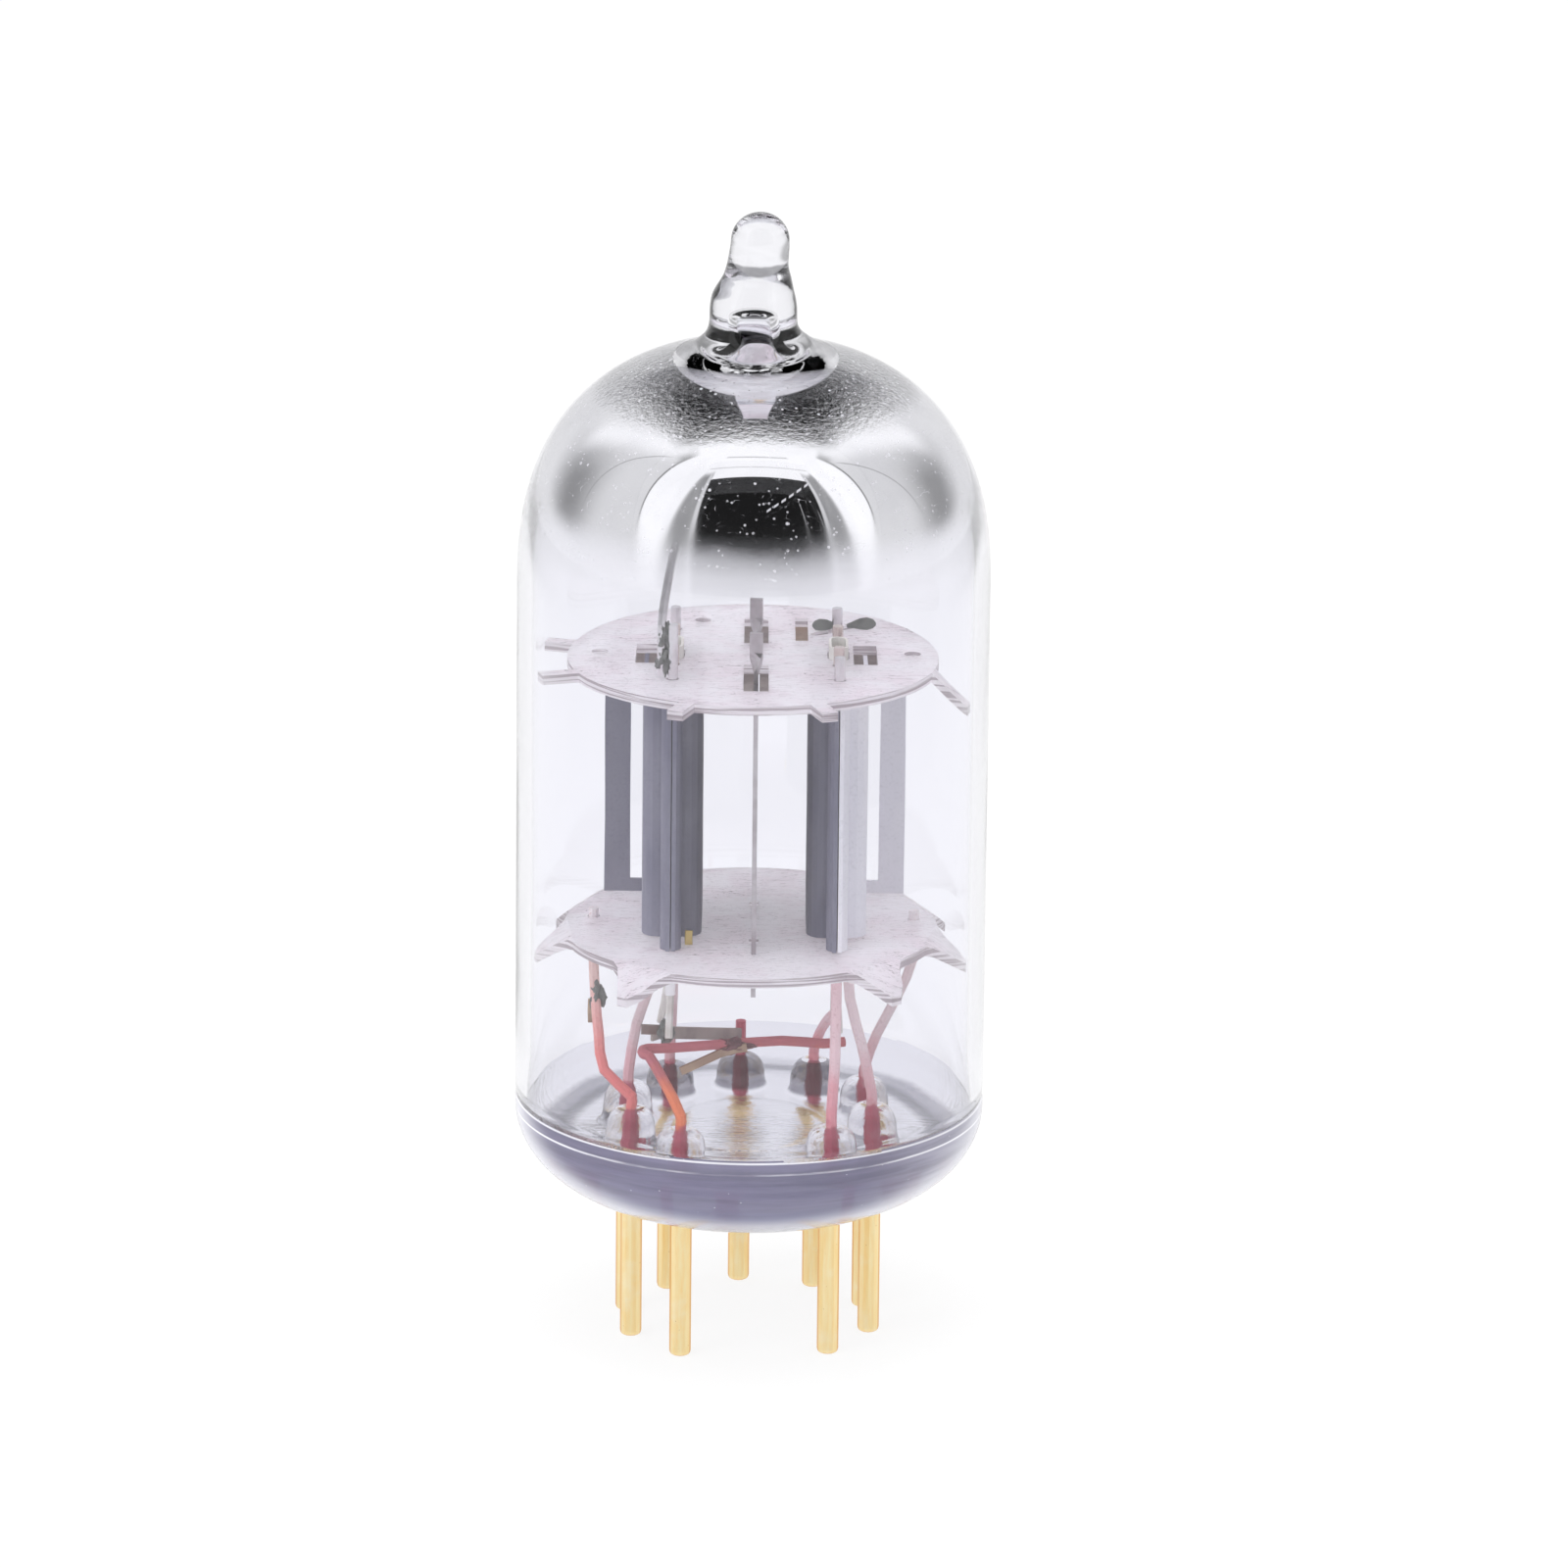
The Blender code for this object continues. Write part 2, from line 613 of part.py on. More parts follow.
def upper_mica_edge():
    """A round edge with square tabs that reach to the glass."""
    half_root = math.asin(TAB_WIDTH / 2 / UPPER_MICA_RADIUS)
    half_tip = math.asin(TAB_WIDTH / 2 / MICA_TIP_RADIUS)
    points = []
    step = 6.0
    for i, tab in enumerate(TAB_ANGLES):
        middle = math.radians(tab)
        for radius, angle in (
            (UPPER_MICA_RADIUS, middle - half_root),
            (MICA_TIP_RADIUS, middle - half_tip),
            (MICA_TIP_RADIUS, middle + half_tip),
            (UPPER_MICA_RADIUS, middle + half_root),
        ):
            points.append((radius * math.cos(angle), radius * math.sin(angle)))
        following = TAB_ANGLES[(i + 1) % len(TAB_ANGLES)]
        start = tab + math.degrees(half_root)
        stretch = (following - tab) % 360.0 - 2 * math.degrees(half_root)
        count = max(int(stretch / step), 1)
        points += arc((0.0, 0.0), UPPER_MICA_RADIUS, start, start + stretch, count)[1:-1]
    return points


def lower_mica_edge():
    """A scalloped edge whose horn-like teeth reach to the glass."""
    points = []
    for degrees in range(0, 360, 3):
        away = min(abs((degrees - tooth + 180.0) % 360.0 - 180.0) for tooth in TOOTH_ANGLES)
        share = (TOOTH_HALF_ANGLE - away) / (TOOTH_HALF_ANGLE - TOOTH_TIP_HALF_ANGLE)
        share = min(max(share, 0.0), 1.0)
        radius = LOWER_MICA_RADIUS + (MICA_TIP_RADIUS - LOWER_MICA_RADIUS) * share**TOOTH_HOLLOW
        angle = math.radians(degrees)
        points.append((radius * math.cos(angle), radius * math.sin(angle)))
    return points


def mica_holes():
    """Holes that both micas have: for the grid rods and the cathodes."""
    holes = []
    for side in SIDES:
        for end in (-1, 1):
            holes.append(circle(grid_rod_place(side, end), ROD_HOLE_RADIUS, 10))
        centre = (section_x(side), 0.0)
        holes.append(
            oblong(centre, CATHODE_WIDTH + 2 * HOLE_CLEARANCE, CATHODE_LENGTH + 2 * HOLE_CLEARANCE, 5)
        )
    return holes


def droop(sheet, radius, drop, angles):
    """Bends down the tabs or teeth that stand past a radius at the given angles."""
    shape = bmesh.new()
    shape.from_mesh(sheet.data)
    for angle in angles:
        outward = Vector((math.cos(angle), math.sin(angle), 0.0))
        root = outward * radius * DROOP_START
        everything = shape.verts[:] + shape.edges[:] + shape.faces[:]
        bmesh.ops.bisect_plane(shape, geom=everything, plane_co=root, plane_no=outward)
    for vertex in shape.verts:
        reach = math.hypot(vertex.co.x, vertex.co.y) - radius
        heading = math.atan2(vertex.co.y, vertex.co.x)
        away = min(abs(math.remainder(heading - angle, 2 * math.pi)) for angle in angles)
        if reach > 0.0 and away < math.radians(TOOTH_HALF_ANGLE):
            vertex.co.z -= drop * reach / (MICA_TIP_RADIUS - radius)
    shape.to_mesh(sheet.data)
    shape.free()


def make_micas():
    upper = [upper_mica_edge(), *mica_holes()]
    slot_middle = (SHIELD_SLOT_START + SHIELD_SLOT_END) / 2
    slot_length = SHIELD_SLOT_END - SHIELD_SLOT_START
    for end in (-1, 1):
        upper.append(rectangle((STACK_SHIFT, end * slot_middle), SHIELD_SLOT_WIDTH, slot_length))
    for side, sign in SIDES.items():
        for end in (-1, 1):
            if (side, end) == ("right", 1):
                upper.append(split_hole(anode_rod_place(side, end), ROD_HOLE_RADIUS))
            else:
                upper.append(circle(anode_rod_place(side, end), ROD_HOLE_RADIUS, 10))
        window_x = section_x(side) + sign * (WINDOW_START - WINDOW_REACH / 2)
        upper.append(rectangle((window_x, 0.0), WINDOW_REACH, 2 * WINDOW_HALF_LENGTH))
        side_hole = (STACK_SHIFT + sign * (UPPER_MICA_RADIUS - SIDE_HOLE_FROM_EDGE), SIDE_HOLE_BEHIND)
        upper.append(circle(side_hole, SMALL_HOLE_RADIUS))
    leak_slot = (STACK_SHIFT + LEAK_SLOT_X, LEAK_SLOT_BEHIND)
    upper.append(rectangle(leak_slot, LEAK_SLOT_WIDTH, LEAK_SLOT_LENGTH))
    upper.append(circle((STACK_SHIFT - BACK_HOLE_PLACE[0], BACK_HOLE_PLACE[1]), SMALL_HOLE_RADIUS))
    sheet = as_mesh(plate("upper_mica", upper, UPPER_MICA_BOTTOM, UPPER_MICA_TOP))
    droop(sheet, UPPER_MICA_RADIUS, BENT_TAB_DROOP, [math.radians(TAB_ANGLES[-1])])
    place(sheet, mica)

    lower = [lower_mica_edge(), *mica_holes()]
    tab_slot = (SHIELD_SHEET + 4 * HOLE_CLEARANCE, SHIELD_TAB_WIDTH + 2 * HOLE_CLEARANCE)
    for end in (-1, 1):
        lower.append(rectangle((STACK_SHIFT, end * SHIELD_TAB_PLACE), *tab_slot))
    for side in SIDES:
        for end in (-1, 1):
            lower.append(circle(anode_rod_place(side, end), ROD_HOLE_RADIUS, 10))
        lower.append(circle(anchor_place(side), LEAD_RADIUS + HOLE_CLEARANCE, 10))
    sheet = as_mesh(plate("lower_mica", lower, LOWER_MICA_BOTTOM, LOWER_MICA_TOP))
    droop(sheet, LOWER_MICA_RADIUS, TOOTH_DROOP, [math.radians(tooth) for tooth in TOOTH_ANGLES])
    place(sheet, mica)


def half_anode_path(wing):
    """The middle line of one folded half, as (outward from the crimp, along Y), front to rear."""
    flat = SEAT_GAP / 2 + ANODE_SHEET / 2
    groove = ROD_RADIUS + SEAT_GAP + ANODE_SHEET / 2
    dip = math.degrees(math.acos(flat / groove))
    side = ANODE_HALF_WIDTH - ANODE_SHEET / 2
    end = ANODE_HALF_LENGTH - ANODE_SHEET / 2
    corner = ANODE_CORNER
    front = [(flat, -FLANGE_REACH)]
    front += arc((0.0, -ANODE_ROD_PLACE), groove, -dip, dip, 5)
    front.append((flat, -end))
    body = arc((side - corner, -end + corner), corner, -90.0, 0.0, 4)
    body += arc((side - corner, end - corner), corner, 0.0, 90.0, 4)
    rear = [(flat, end)]
    rear += arc((0.0, ANODE_ROD_PLACE), groove, -dip, dip, 5)
    rear.append((flat, FLANGE_REACH))
    if wing:
        rear.append((WING_REACH, FLANGE_REACH))
    return front + body + rear


def make_anodes():
    """Each anode is an inner and an outer folded half, crimped on two rods."""
    windows = new_collection("wing_windows")
    for side, sign in SIDES.items():
        for half, outward in (("inner", -sign), ("outer", sign)):
            path = [
                (section_x(side) + outward * out, y)
                for out, y in half_anode_path(half == "outer")
            ]
            name = f"{side}_anode_{half}"
            outline = thickened(path, ANODE_SHEET)
            anode = as_mesh(plate(name, [outline], ANODE_BOTTOM, ANODE_TOP))
            if half == "outer":
                window_ends = sorted(
                    section_x(side) + sign * reach
                    for reach in (WING_WINDOW_START, WING_REACH - WING_STRIP_WIDTH)
                )
                low = (window_ends[0], FLANGE_REACH - 5 * ANODE_SHEET, ANODE_BOTTOM + WING_BRIDGE)
                high = (window_ends[1], FLANGE_REACH + 5 * ANODE_SHEET, ANODE_TOP - WING_BRIDGE)
                boolean(anode, "DIFFERENCE", box_cutter(f"{side}_wing_window", low, high, windows))
            smooth_edges(anode)
            place(anode, carbonised)
        for place_name, end in (("front", -1), ("rear", 1)):
            above = ROD_ABOVE
            if side == "left" and end == -1:
                above = GETTER_ROD_ABOVE
            foot = anode_rod_place(side, end)
            ends = (LOWER_MICA_BOTTOM - ROD_BELOW, UPPER_MICA_TOP + above)
            rod = wire(f"{side}_anode_rod_{place_name}", [(*foot, z) for z in ends], ROD_DIAMETER)
            place(rod, nickel)


def winding_route(side):
    """A flattened helix round the two side rods of a grid."""
    bottom = ANODE_BOTTOM + WINDING_END_GAP
    turns = int((ANODE_TOP - WINDING_END_GAP - bottom) / WINDING_PITCH)
    per_turn = 10
    points = []
    for i in range(turns * per_turn + 1):
        angle = 2 * math.pi * i / per_turn
        points.append(
            (
                section_x(side) + WINDING_HALF_WIDTH * math.cos(angle),
                WINDING_HALF_LENGTH * math.sin(angle),
                bottom + WINDING_PITCH * i / per_turn,
            )
        )
    return points


def make_grids():
    for side in SIDES:
        for place_name, end in (("front", -1), ("rear", 1)):
            foot = grid_rod_place(side, end)
            ends = (LOWER_MICA_BOTTOM - GRID_ROD_BELOW, UPPER_MICA_TOP + GRID_ROD_ABOVE)
            rod = wire(f"{side}_grid_rod_{place_name}", [(*foot, z) for z in ends], ROD_DIAMETER)
            place(rod, copper)
        place(wire(f"{side}_grid_winding", winding_route(side), WINDING_WIRE, 0), copper)


def heater_route(side):
    """Down from the fold inside the sleeve: one leg to the tap in front, one to its supply behind."""
    x = section_x(side)
    top = UPPER_MICA_TOP + CATHODE_ABOVE - HEATER_TOP_GAP
    bottom = LOWER_MICA_BOTTOM - CATHODE_BELOW
    spread = HEATER_HALF_SPREAD
    turn, bus_end = heater_bus()
    share, drop = HEATER_BUS_DROPS[0]
    if side == "right":
        share, drop = 1.0 - HEATER_BUS_PAST / 2 / (bus_end[0] - turn[0]), 1.0
    tap_x, tap_y, bus_z = along(turn, bus_end, [(share, drop, 0.0)])[0]
    tap_z = bus_z + LEAD_RADIUS + HEATER_WIRE / 2 + SEAT_GAP
    front_leg, rear_leg = (x, -spread, bottom), (x, spread, bottom)
    tap = along((tap_x, tap_y, tap_z), front_leg, [(0.0, 0.0, 0.0), (0.12, 0.17, 0.0), (0.6, 0.6, 0.0)])
    supply = along(rear_leg, supply_place(side), [(0.3, 0.42, 0.0), (0.75, 0.8, 0.0), (1.0, 1.0, 0.0)])
    middle = (top + bottom) / 2
    fold = [(x, y, z) for y, z in arc((0.0, top - spread), spread, 180.0, 0.0, 4)]
    up, down = [front_leg, (x, -spread, middle)], [(x, spread, middle), rear_leg]
    return tap + up + fold + down + supply


def make_cathodes():
    """Flat emitting sleeves, open at both ends, each with a folded heater inside."""
    for side in SIDES:
        centre = (section_x(side), 0.0)
        inside = (CATHODE_WIDTH - 2 * CATHODE_WALL, CATHODE_LENGTH - 2 * CATHODE_WALL)
        outlines = [oblong(centre, CATHODE_WIDTH, CATHODE_LENGTH), oblong(centre, *inside)]
        bottom = LOWER_MICA_BOTTOM - CATHODE_BELOW
        place(plate(f"{side}_cathode", outlines, bottom, UPPER_MICA_TOP + CATHODE_ABOVE), oxide)
        heater = wire(f"{side}_heater", smooth_route(heater_route(side), 2), HEATER_WIRE, 1)
        place(heater, heater_coat)


def make_links():
    """Flat strips under the lower mica: cathode to its lead, and left heater to its lead."""
    top = LOWER_MICA_BOTTOM - LINK_BELOW
    for side, sign in SIDES.items():
        start = section_x(side) + sign * (CATHODE_WIDTH / 2 + SEAT_GAP + LINK_SHEET / 2)
        anchor_x, anchor_y = anchor_place(side)
        end = anchor_x - sign * (LEAD_RADIUS + SEAT_GAP + LINK_SHEET)
        bend = SEAT_GAP + LINK_SHEET
        path = [(start, -bend), (start, bend), (start + sign * bend, 2 * bend), (end, anchor_y)]
        outline = thickened(path, LINK_SHEET)
        place(plate(f"{side}_cathode_link", [outline], top - LINK_WIDTH, top), nickel)
    x, y = pin_place(5)
    supply_x, supply_y, supply_z = supply_place("left")
    start = (x, y - LEAD_RADIUS - SEAT_GAP - LINK_SHEET)
    way = (Vector((supply_x, supply_y)) - Vector(start)).normalized()
    end = Vector((supply_x, supply_y)) + way * LINK_WIDTH
    outline = thickened([start, (supply_x, supply_y), tuple(end)], LINK_SHEET)
    top = supply_z - HEATER_WIRE / 2 - SEAT_GAP
    strip = as_mesh(plate("left_heater_link", [outline], top - LINK_WIDTH, top))
    drop = top - (BEAD_Z + LINK_ABOVE_BEAD + LINK_WIDTH)
    reach = (Vector((supply_x, supply_y)) - Vector(start)).length
    for vertex in strip.data.vertices:
        share = 1 - (vertex.co.xy - Vector(start)).dot(way) / reach
        vertex.co.z -= drop * max(share, 0.0)
    place(strip, nickel)


def make_shield():
    """The screen between the triodes, with twisted tabs through both micas."""
    half = SHIELD_TAB_WIDTH / 2
    top = UPPER_MICA_TOP + SHIELD_TAB_ABOVE
    bottom = LOWER_MICA_BOTTOM - SHIELD_TAB_BELOW
    tab_z = [UPPER_MICA_TOP + SHIELD_TAB_ABOVE * i / 8 for i in range(9)]
    outline = []
    for end in (1, -1):
        y = end * SHIELD_TAB_PLACE
        outline += [(y + half, ANODE_TOP), (y + half, top), (y - half, top), (y - half, ANODE_TOP)]
    outline += [(-SHIELD_HALF_LENGTH, ANODE_TOP), (-SHIELD_HALF_LENGTH, ANODE_BOTTOM)]
    for end in (-1, 1):
        y = end * SHIELD_TAB_PLACE
        outline += [(y - half, ANODE_BOTTOM), (y - half, bottom)]
        outline += [(y + half, bottom), (y + half, ANODE_BOTTOM)]
    outline += [(SHIELD_HALF_LENGTH, ANODE_BOTTOM), (SHIELD_HALF_LENGTH, ANODE_TOP)]
    flat = plate("centre_shield", [outline], -SHIELD_SHEET / 2, SHIELD_SHEET / 2)
    flat.matrix_world = Matrix.Translation((STACK_SHIFT, 0.0, 0.0)) @ Matrix(
        ((0, 0, 1, 0), (1, 0, 0, 0), (0, 1, 0, 0), (0, 0, 0, 1))
    )
    shield = as_mesh(flat)
    cuts = bmesh.new()
    cuts.from_mesh(shield.data)
    for height in tab_z[:-1]:
        everything = cuts.verts[:] + cuts.edges[:] + cuts.faces[:]
        bmesh.ops.bisect_plane(cuts, geom=everything, plane_co=(0.0, height, 0.0), plane_no=(0.0, 1.0, 0.0))
    cuts.to_mesh(shield.data)
    cuts.free()
    for vertex in shield.data.vertices:
        y, z = vertex.co.x, vertex.co.y
        share = (z - UPPER_MICA_TOP) / (top - UPPER_MICA_TOP)
        if share <= 0.0:
            continue
        middle = math.copysign(SHIELD_TAB_PLACE, y)
        turn = Matrix.Rotation(SHIELD_TAB_TWIST * min(share / SHIELD_TWIST_END, 1.0), 3, "Y")
        turned_to = turn @ Vector((y - middle, 0.0, vertex.co.z))
        vertex.co = (middle + turned_to.x, z, turned_to.z)
    place(shield, nickel)


def make_getter():
    """The getter ring high in the dome, on a wire welded to the left front rod."""
    ring_z = UPPER_MICA_TOP + GETTER_RING_HEIGHT
    half = GETTER_CHANNEL_WIDTH / 2
    sheet = GETTER_CHANNEL_SHEET
    depth = GETTER_CHANNEL_DEPTH
    r = GETTER_RING_RADIUS
    section = [
        (r - half, ring_z), (r - half, ring_z + depth), (r - half + sheet, ring_z + depth),
        (r - half + sheet, ring_z + sheet), (r + half - sheet, ring_z + sheet),
        (r + half - sheet, ring_z + depth), (r + half, ring_z + depth), (r + half, ring_z),
    ]
    place(turned("getter_ring", section, GETTER_STEPS, closed=True), nickel)
    rod_x, rod_y = anode_rod_place("left", -1)
    offset = ROD_RADIUS + GETTER_WIRE / 2 + SEAT_GAP
    seat = GETTER_RING_RADIUS / math.sqrt(2)
    end_z = ring_z - GETTER_WIRE / 2 - SEAT_GAP
    weld_x = rod_x - offset
    foot = (weld_x, rod_y, UPPER_MICA_TOP + 3 * HOLE_CLEARANCE)
    weld_top = (weld_x, rod_y, UPPER_MICA_TOP + GETTER_ROD_ABOVE)
    ring_seat = (-seat, -seat, end_z)
    bends = [(0.1, 0.3, 0.0), (0.35, 0.72, 0.0), (0.72, 0.97, 0.0), (1.0, 1.0, 0.0)]
    rise = along(weld_top, ring_seat, bends)
    route = [foot, weld_top, *rise, (-seat + GETTER_WIRE, -seat + GETTER_WIRE, end_z)]
    place(wire("getter_support", smooth_route(route), GETTER_WIRE), nickel)


clear_scene()
tube = new_collection("vacuum_tube")
glass = material("clear_glass", (0.93, 0.93, 0.97), 0.02, transmission=1.0)
base_glass = material("base_glass", (0.42, 0.45, 0.58), 0.05, transmission=0.6)
gold = material("gold_plate", (0.95, 0.72, 0.30), 0.22, 1.0)
lead_metal = material("copper_clad_lead", (0.72, 0.36, 0.30), 0.35, 1.0)
copper = material("copper", (0.80, 0.42, 0.28), 0.3, 1.0)
nickel = material("nickel", (0.66, 0.65, 0.64), 0.3, 1.0)
carbonised = material("carbonised_nickel", (0.13, 0.13, 0.16), 0.5, 0.6)
mica = material("mica", (0.78, 0.75, 0.76), 0.25, transmission=0.3)
oxide = material("oxide_coat", (0.88, 0.87, 0.84), 0.9)
heater_coat = material("alumina_coat", (0.80, 0.79, 0.76), 0.85)

make_envelope()
make_base()
make_pins()
make_leads()
make_micas()
make_anodes()
make_grids()
make_cathodes()
make_links()
make_shield()
make_getter()
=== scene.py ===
"""Miniature double triode on its pins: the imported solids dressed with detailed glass, mirror film and metals."""
import json
import math

import bmesh
import bpy
from mathutils import Matrix, Vector, noise

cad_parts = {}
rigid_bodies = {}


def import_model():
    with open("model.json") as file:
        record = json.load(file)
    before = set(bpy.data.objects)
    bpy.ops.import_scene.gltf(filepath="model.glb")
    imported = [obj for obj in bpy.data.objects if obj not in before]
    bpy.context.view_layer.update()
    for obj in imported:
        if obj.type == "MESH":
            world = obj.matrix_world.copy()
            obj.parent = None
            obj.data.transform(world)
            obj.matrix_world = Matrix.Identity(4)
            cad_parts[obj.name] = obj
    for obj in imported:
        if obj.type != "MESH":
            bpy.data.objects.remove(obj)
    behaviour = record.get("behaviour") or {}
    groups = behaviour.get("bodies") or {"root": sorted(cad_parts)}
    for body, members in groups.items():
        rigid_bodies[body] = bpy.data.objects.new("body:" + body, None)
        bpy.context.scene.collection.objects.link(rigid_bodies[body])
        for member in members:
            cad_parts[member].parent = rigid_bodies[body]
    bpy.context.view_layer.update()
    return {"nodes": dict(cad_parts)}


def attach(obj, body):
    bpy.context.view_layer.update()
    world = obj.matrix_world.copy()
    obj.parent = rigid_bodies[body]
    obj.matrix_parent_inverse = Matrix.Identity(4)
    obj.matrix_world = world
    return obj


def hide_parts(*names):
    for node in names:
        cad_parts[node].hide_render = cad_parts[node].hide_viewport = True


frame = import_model()
NODES = frame["nodes"]
MM = 0.001

# ---------------------------------------------------------------- camera
# Fitted to the nine pins on their 11.89 mm circle; image taken as 1600 x 1600.
IMAGE_SIZE = 1600
CAMERA_ELEVATION = math.radians(16.572)
CAMERA_DISTANCE = 0.5347
CAMERA_TARGET_Z = 0.028
CAMERA_ROLL = math.radians(-0.55)
CAMERA_FOCAL_PIXELS = 11613.8
CAMERA_SHIFT_PIXELS = (32.5, -28.94)


def make_camera():
    data = bpy.data.cameras.new("camera")
    data.sensor_width = 36.0
    data.lens = CAMERA_FOCAL_PIXELS * data.sensor_width / IMAGE_SIZE
    data.shift_x = CAMERA_SHIFT_PIXELS[0] / IMAGE_SIZE
    data.shift_y = CAMERA_SHIFT_PIXELS[1] / IMAGE_SIZE
    data.clip_start, data.clip_end = 0.01, 10.0
    back = Vector((0.0, -math.cos(CAMERA_ELEVATION), math.sin(CAMERA_ELEVATION)))
    place = Matrix.Translation(back * CAMERA_DISTANCE + Vector((0, 0, CAMERA_TARGET_Z)))
    turn = (-back).to_track_quat("-Z", "Y").to_matrix().to_4x4()
    camera = bpy.data.objects.new("camera", data)
    camera.matrix_world = place @ turn @ Matrix.Rotation(-CAMERA_ROLL, 4, "Z")
    bpy.context.scene.collection.objects.link(camera)
    bpy.context.scene.camera = camera


make_camera()


# ---------------------------------------------------------------- node helpers
class Graph:
    """A short way to write node trees. Any value may be a number, a colour or a socket."""

    def __init__(self, tree):
        self.tree = tree
        tree.nodes.clear()

    def node(self, kind, **settings):
        made = self.tree.nodes.new(kind)
        for key, value in settings.items():
            setattr(made, key, value)
        return made

    def put(self, value, socket):
        if isinstance(value, bpy.types.NodeSocket):
            self.tree.links.new(value, socket)
        elif isinstance(value, (tuple, list)) and socket.type == "RGBA":
            socket.default_value = (*value[:3], 1.0)
        else:
            socket.default_value = value

    def math(self, operation, a, b=0.0, clamp=False):
        made = self.node("ShaderNodeMath", operation=operation, use_clamp=clamp)
        self.put(a, made.inputs[0])
        if operation not in {"ABSOLUTE", "SQRT", "SIGN", "SINE"}:
            self.put(b, made.inputs[1])
        return made.outputs[0]

    def product(self, *values):
        result = values[0]
        for value in values[1:]:
            result = self.math("MULTIPLY", result, value)
        return result

    def total(self, *values):
        result = values[0]
        for value in values[1:]:
            result = self.math("ADD", result, value)
        return result

    def step(self, value, start, end, low=0.0, high=1.0):
        """A smooth rise from low to high as value goes from start to end."""
        made = self.node("ShaderNodeMapRange", interpolation_type="SMOOTHSTEP")
        for socket, number in zip(made.inputs, (value, start, end, low, high)):
            self.put(number, socket)
        return made.outputs[0]

    def band(self, value, low, high, soft):
        """1 between low and high, and 0 outside, over a soft edge."""
        rise = self.step(value, low - soft, low + soft)
        fall = self.step(value, high - soft, high + soft, 1.0, 0.0)
        return self.product(rise, fall)

    def mix(self, factor, a, b):
        made = self.node("ShaderNodeMix", data_type="RGBA")
        self.put(factor, made.inputs[0])
        self.put(a, made.inputs[6])
        self.put(b, made.inputs[7])
        return made.outputs[2]

    def blend(self, factor, a, b):
        """A mix of two numbers."""
        made = self.node("ShaderNodeMix", data_type="FLOAT")
        for socket, value in zip((made.inputs[0], made.inputs[2], made.inputs[3]), (factor, a, b)):
            self.put(value, socket)
        return made.outputs[0]

    def ramp(self, factor, stops):
        made = self.node("ShaderNodeValToRGB")
        self.put(factor, made.inputs[0])
        elements = made.color_ramp.elements
        while len(elements) < len(stops):
            elements.new(1.0)
        for element, (position, colour) in zip(elements, stops):
            element.position = position
            if isinstance(colour, float):
                colour = (colour,) * 3
            element.color = (*colour, 1.0)
        return made.outputs[0]

    def place(self, scale=(1.0, 1.0, 1.0), turn=(0.0, 0.0, 0.0), move=(0.0, 0.0, 0.0)):
        """Object coordinates in millimetres, scaled, turned and moved."""
        place = self.node("ShaderNodeTexCoord").outputs["Object"]
        mapping = self.node("ShaderNodeMapping")
        self.put(place, mapping.inputs["Vector"])
        mapping.inputs["Scale"].default_value = [s / MM for s in scale]
        mapping.inputs["Rotation"].default_value = turn
        mapping.inputs["Location"].default_value = move
        return mapping.outputs[0]

    def length(self, a, b):
        return self.math("SQRT", self.total(self.product(a, a), self.product(b, b)))

    def slant(self):
        """0 where a surface faces the viewer and 1 where it is seen from its edge."""
        made = self.node("ShaderNodeLayerWeight")
        made.inputs["Blend"].default_value = 0.5
        return made.outputs["Facing"]

    def behind(self):
        """1 where a surface is seen from its inside."""
        return self.node("ShaderNodeNewGeometry").outputs["Backfacing"]

    def upright(self):
        """1 on upright faces and 0 on level ones."""
        normal = self.node("ShaderNodeNewGeometry").outputs["True Normal"]
        return self.step(self.math("ABSOLUTE", self.split(normal)[2]), 0.75, 0.35)

    def split(self, vector):
        made = self.node("ShaderNodeSeparateXYZ")
        self.put(vector, made.inputs[0])
        return made.outputs[0], made.outputs[1], made.outputs[2]

    def noise(self, vector, scale, detail=3.0, rough=0.55, distortion=0.0):
        made = self.node("ShaderNodeTexNoise")
        self.put(vector, made.inputs["Vector"])
        made.inputs["Scale"].default_value = scale
        made.inputs["Detail"].default_value = detail
        made.inputs["Roughness"].default_value = rough
        made.inputs["Distortion"].default_value = distortion
        return made.outputs["Fac"]

    def specks(self, vector, scale, size):
        """Small round dots, one in some of the cells of a grid."""
        made = self.node("ShaderNodeTexVoronoi", feature="F1")
        self.put(vector, made.inputs["Vector"])
        made.inputs["Scale"].default_value = scale
        return self.step(made.outputs["Distance"], size, size * 0.5)

    def bump(self, height, strength, distance=0.0001, normal=None):
        made = self.node("ShaderNodeBump")
        made.inputs["Strength"].default_value = strength
        made.inputs["Distance"].default_value = distance
        self.put(height, made.inputs["Height"])
        if normal is not None:
            self.put(normal, made.inputs["Normal"])
        return made.outputs[0]

    def shader(self, **sockets):
        made = self.node("ShaderNodeBsdfPrincipled")
        for key, value in sockets.items():
            self.put(value, made.inputs[key.replace("_", " ")])
        return made.outputs[0]

    def mix_shader(self, factor, a, b):
        made = self.node("ShaderNodeMixShader")
        self.put(factor, made.inputs[0])
        self.put(a, made.inputs[1])
        self.put(b, made.inputs[2])
        return made.outputs[0]

    def finish(self, shader):
        self.put(shader, self.node("ShaderNodeOutputMaterial").inputs["Surface"])


def material(name):
    made = bpy.data.materials.new(name)
    made.use_nodes = True
    return made, Graph(made.node_tree)


def srgb(*values):
    """Linear colour from 0 to 255 display values."""
    result = []
    for value in values:
        share = value / 255.0
        result.append(share / 12.92 if share <= 0.04045 else ((share + 0.055) / 1.055) ** 2.4)
    return tuple(result) if len(result) > 1 else result[0]


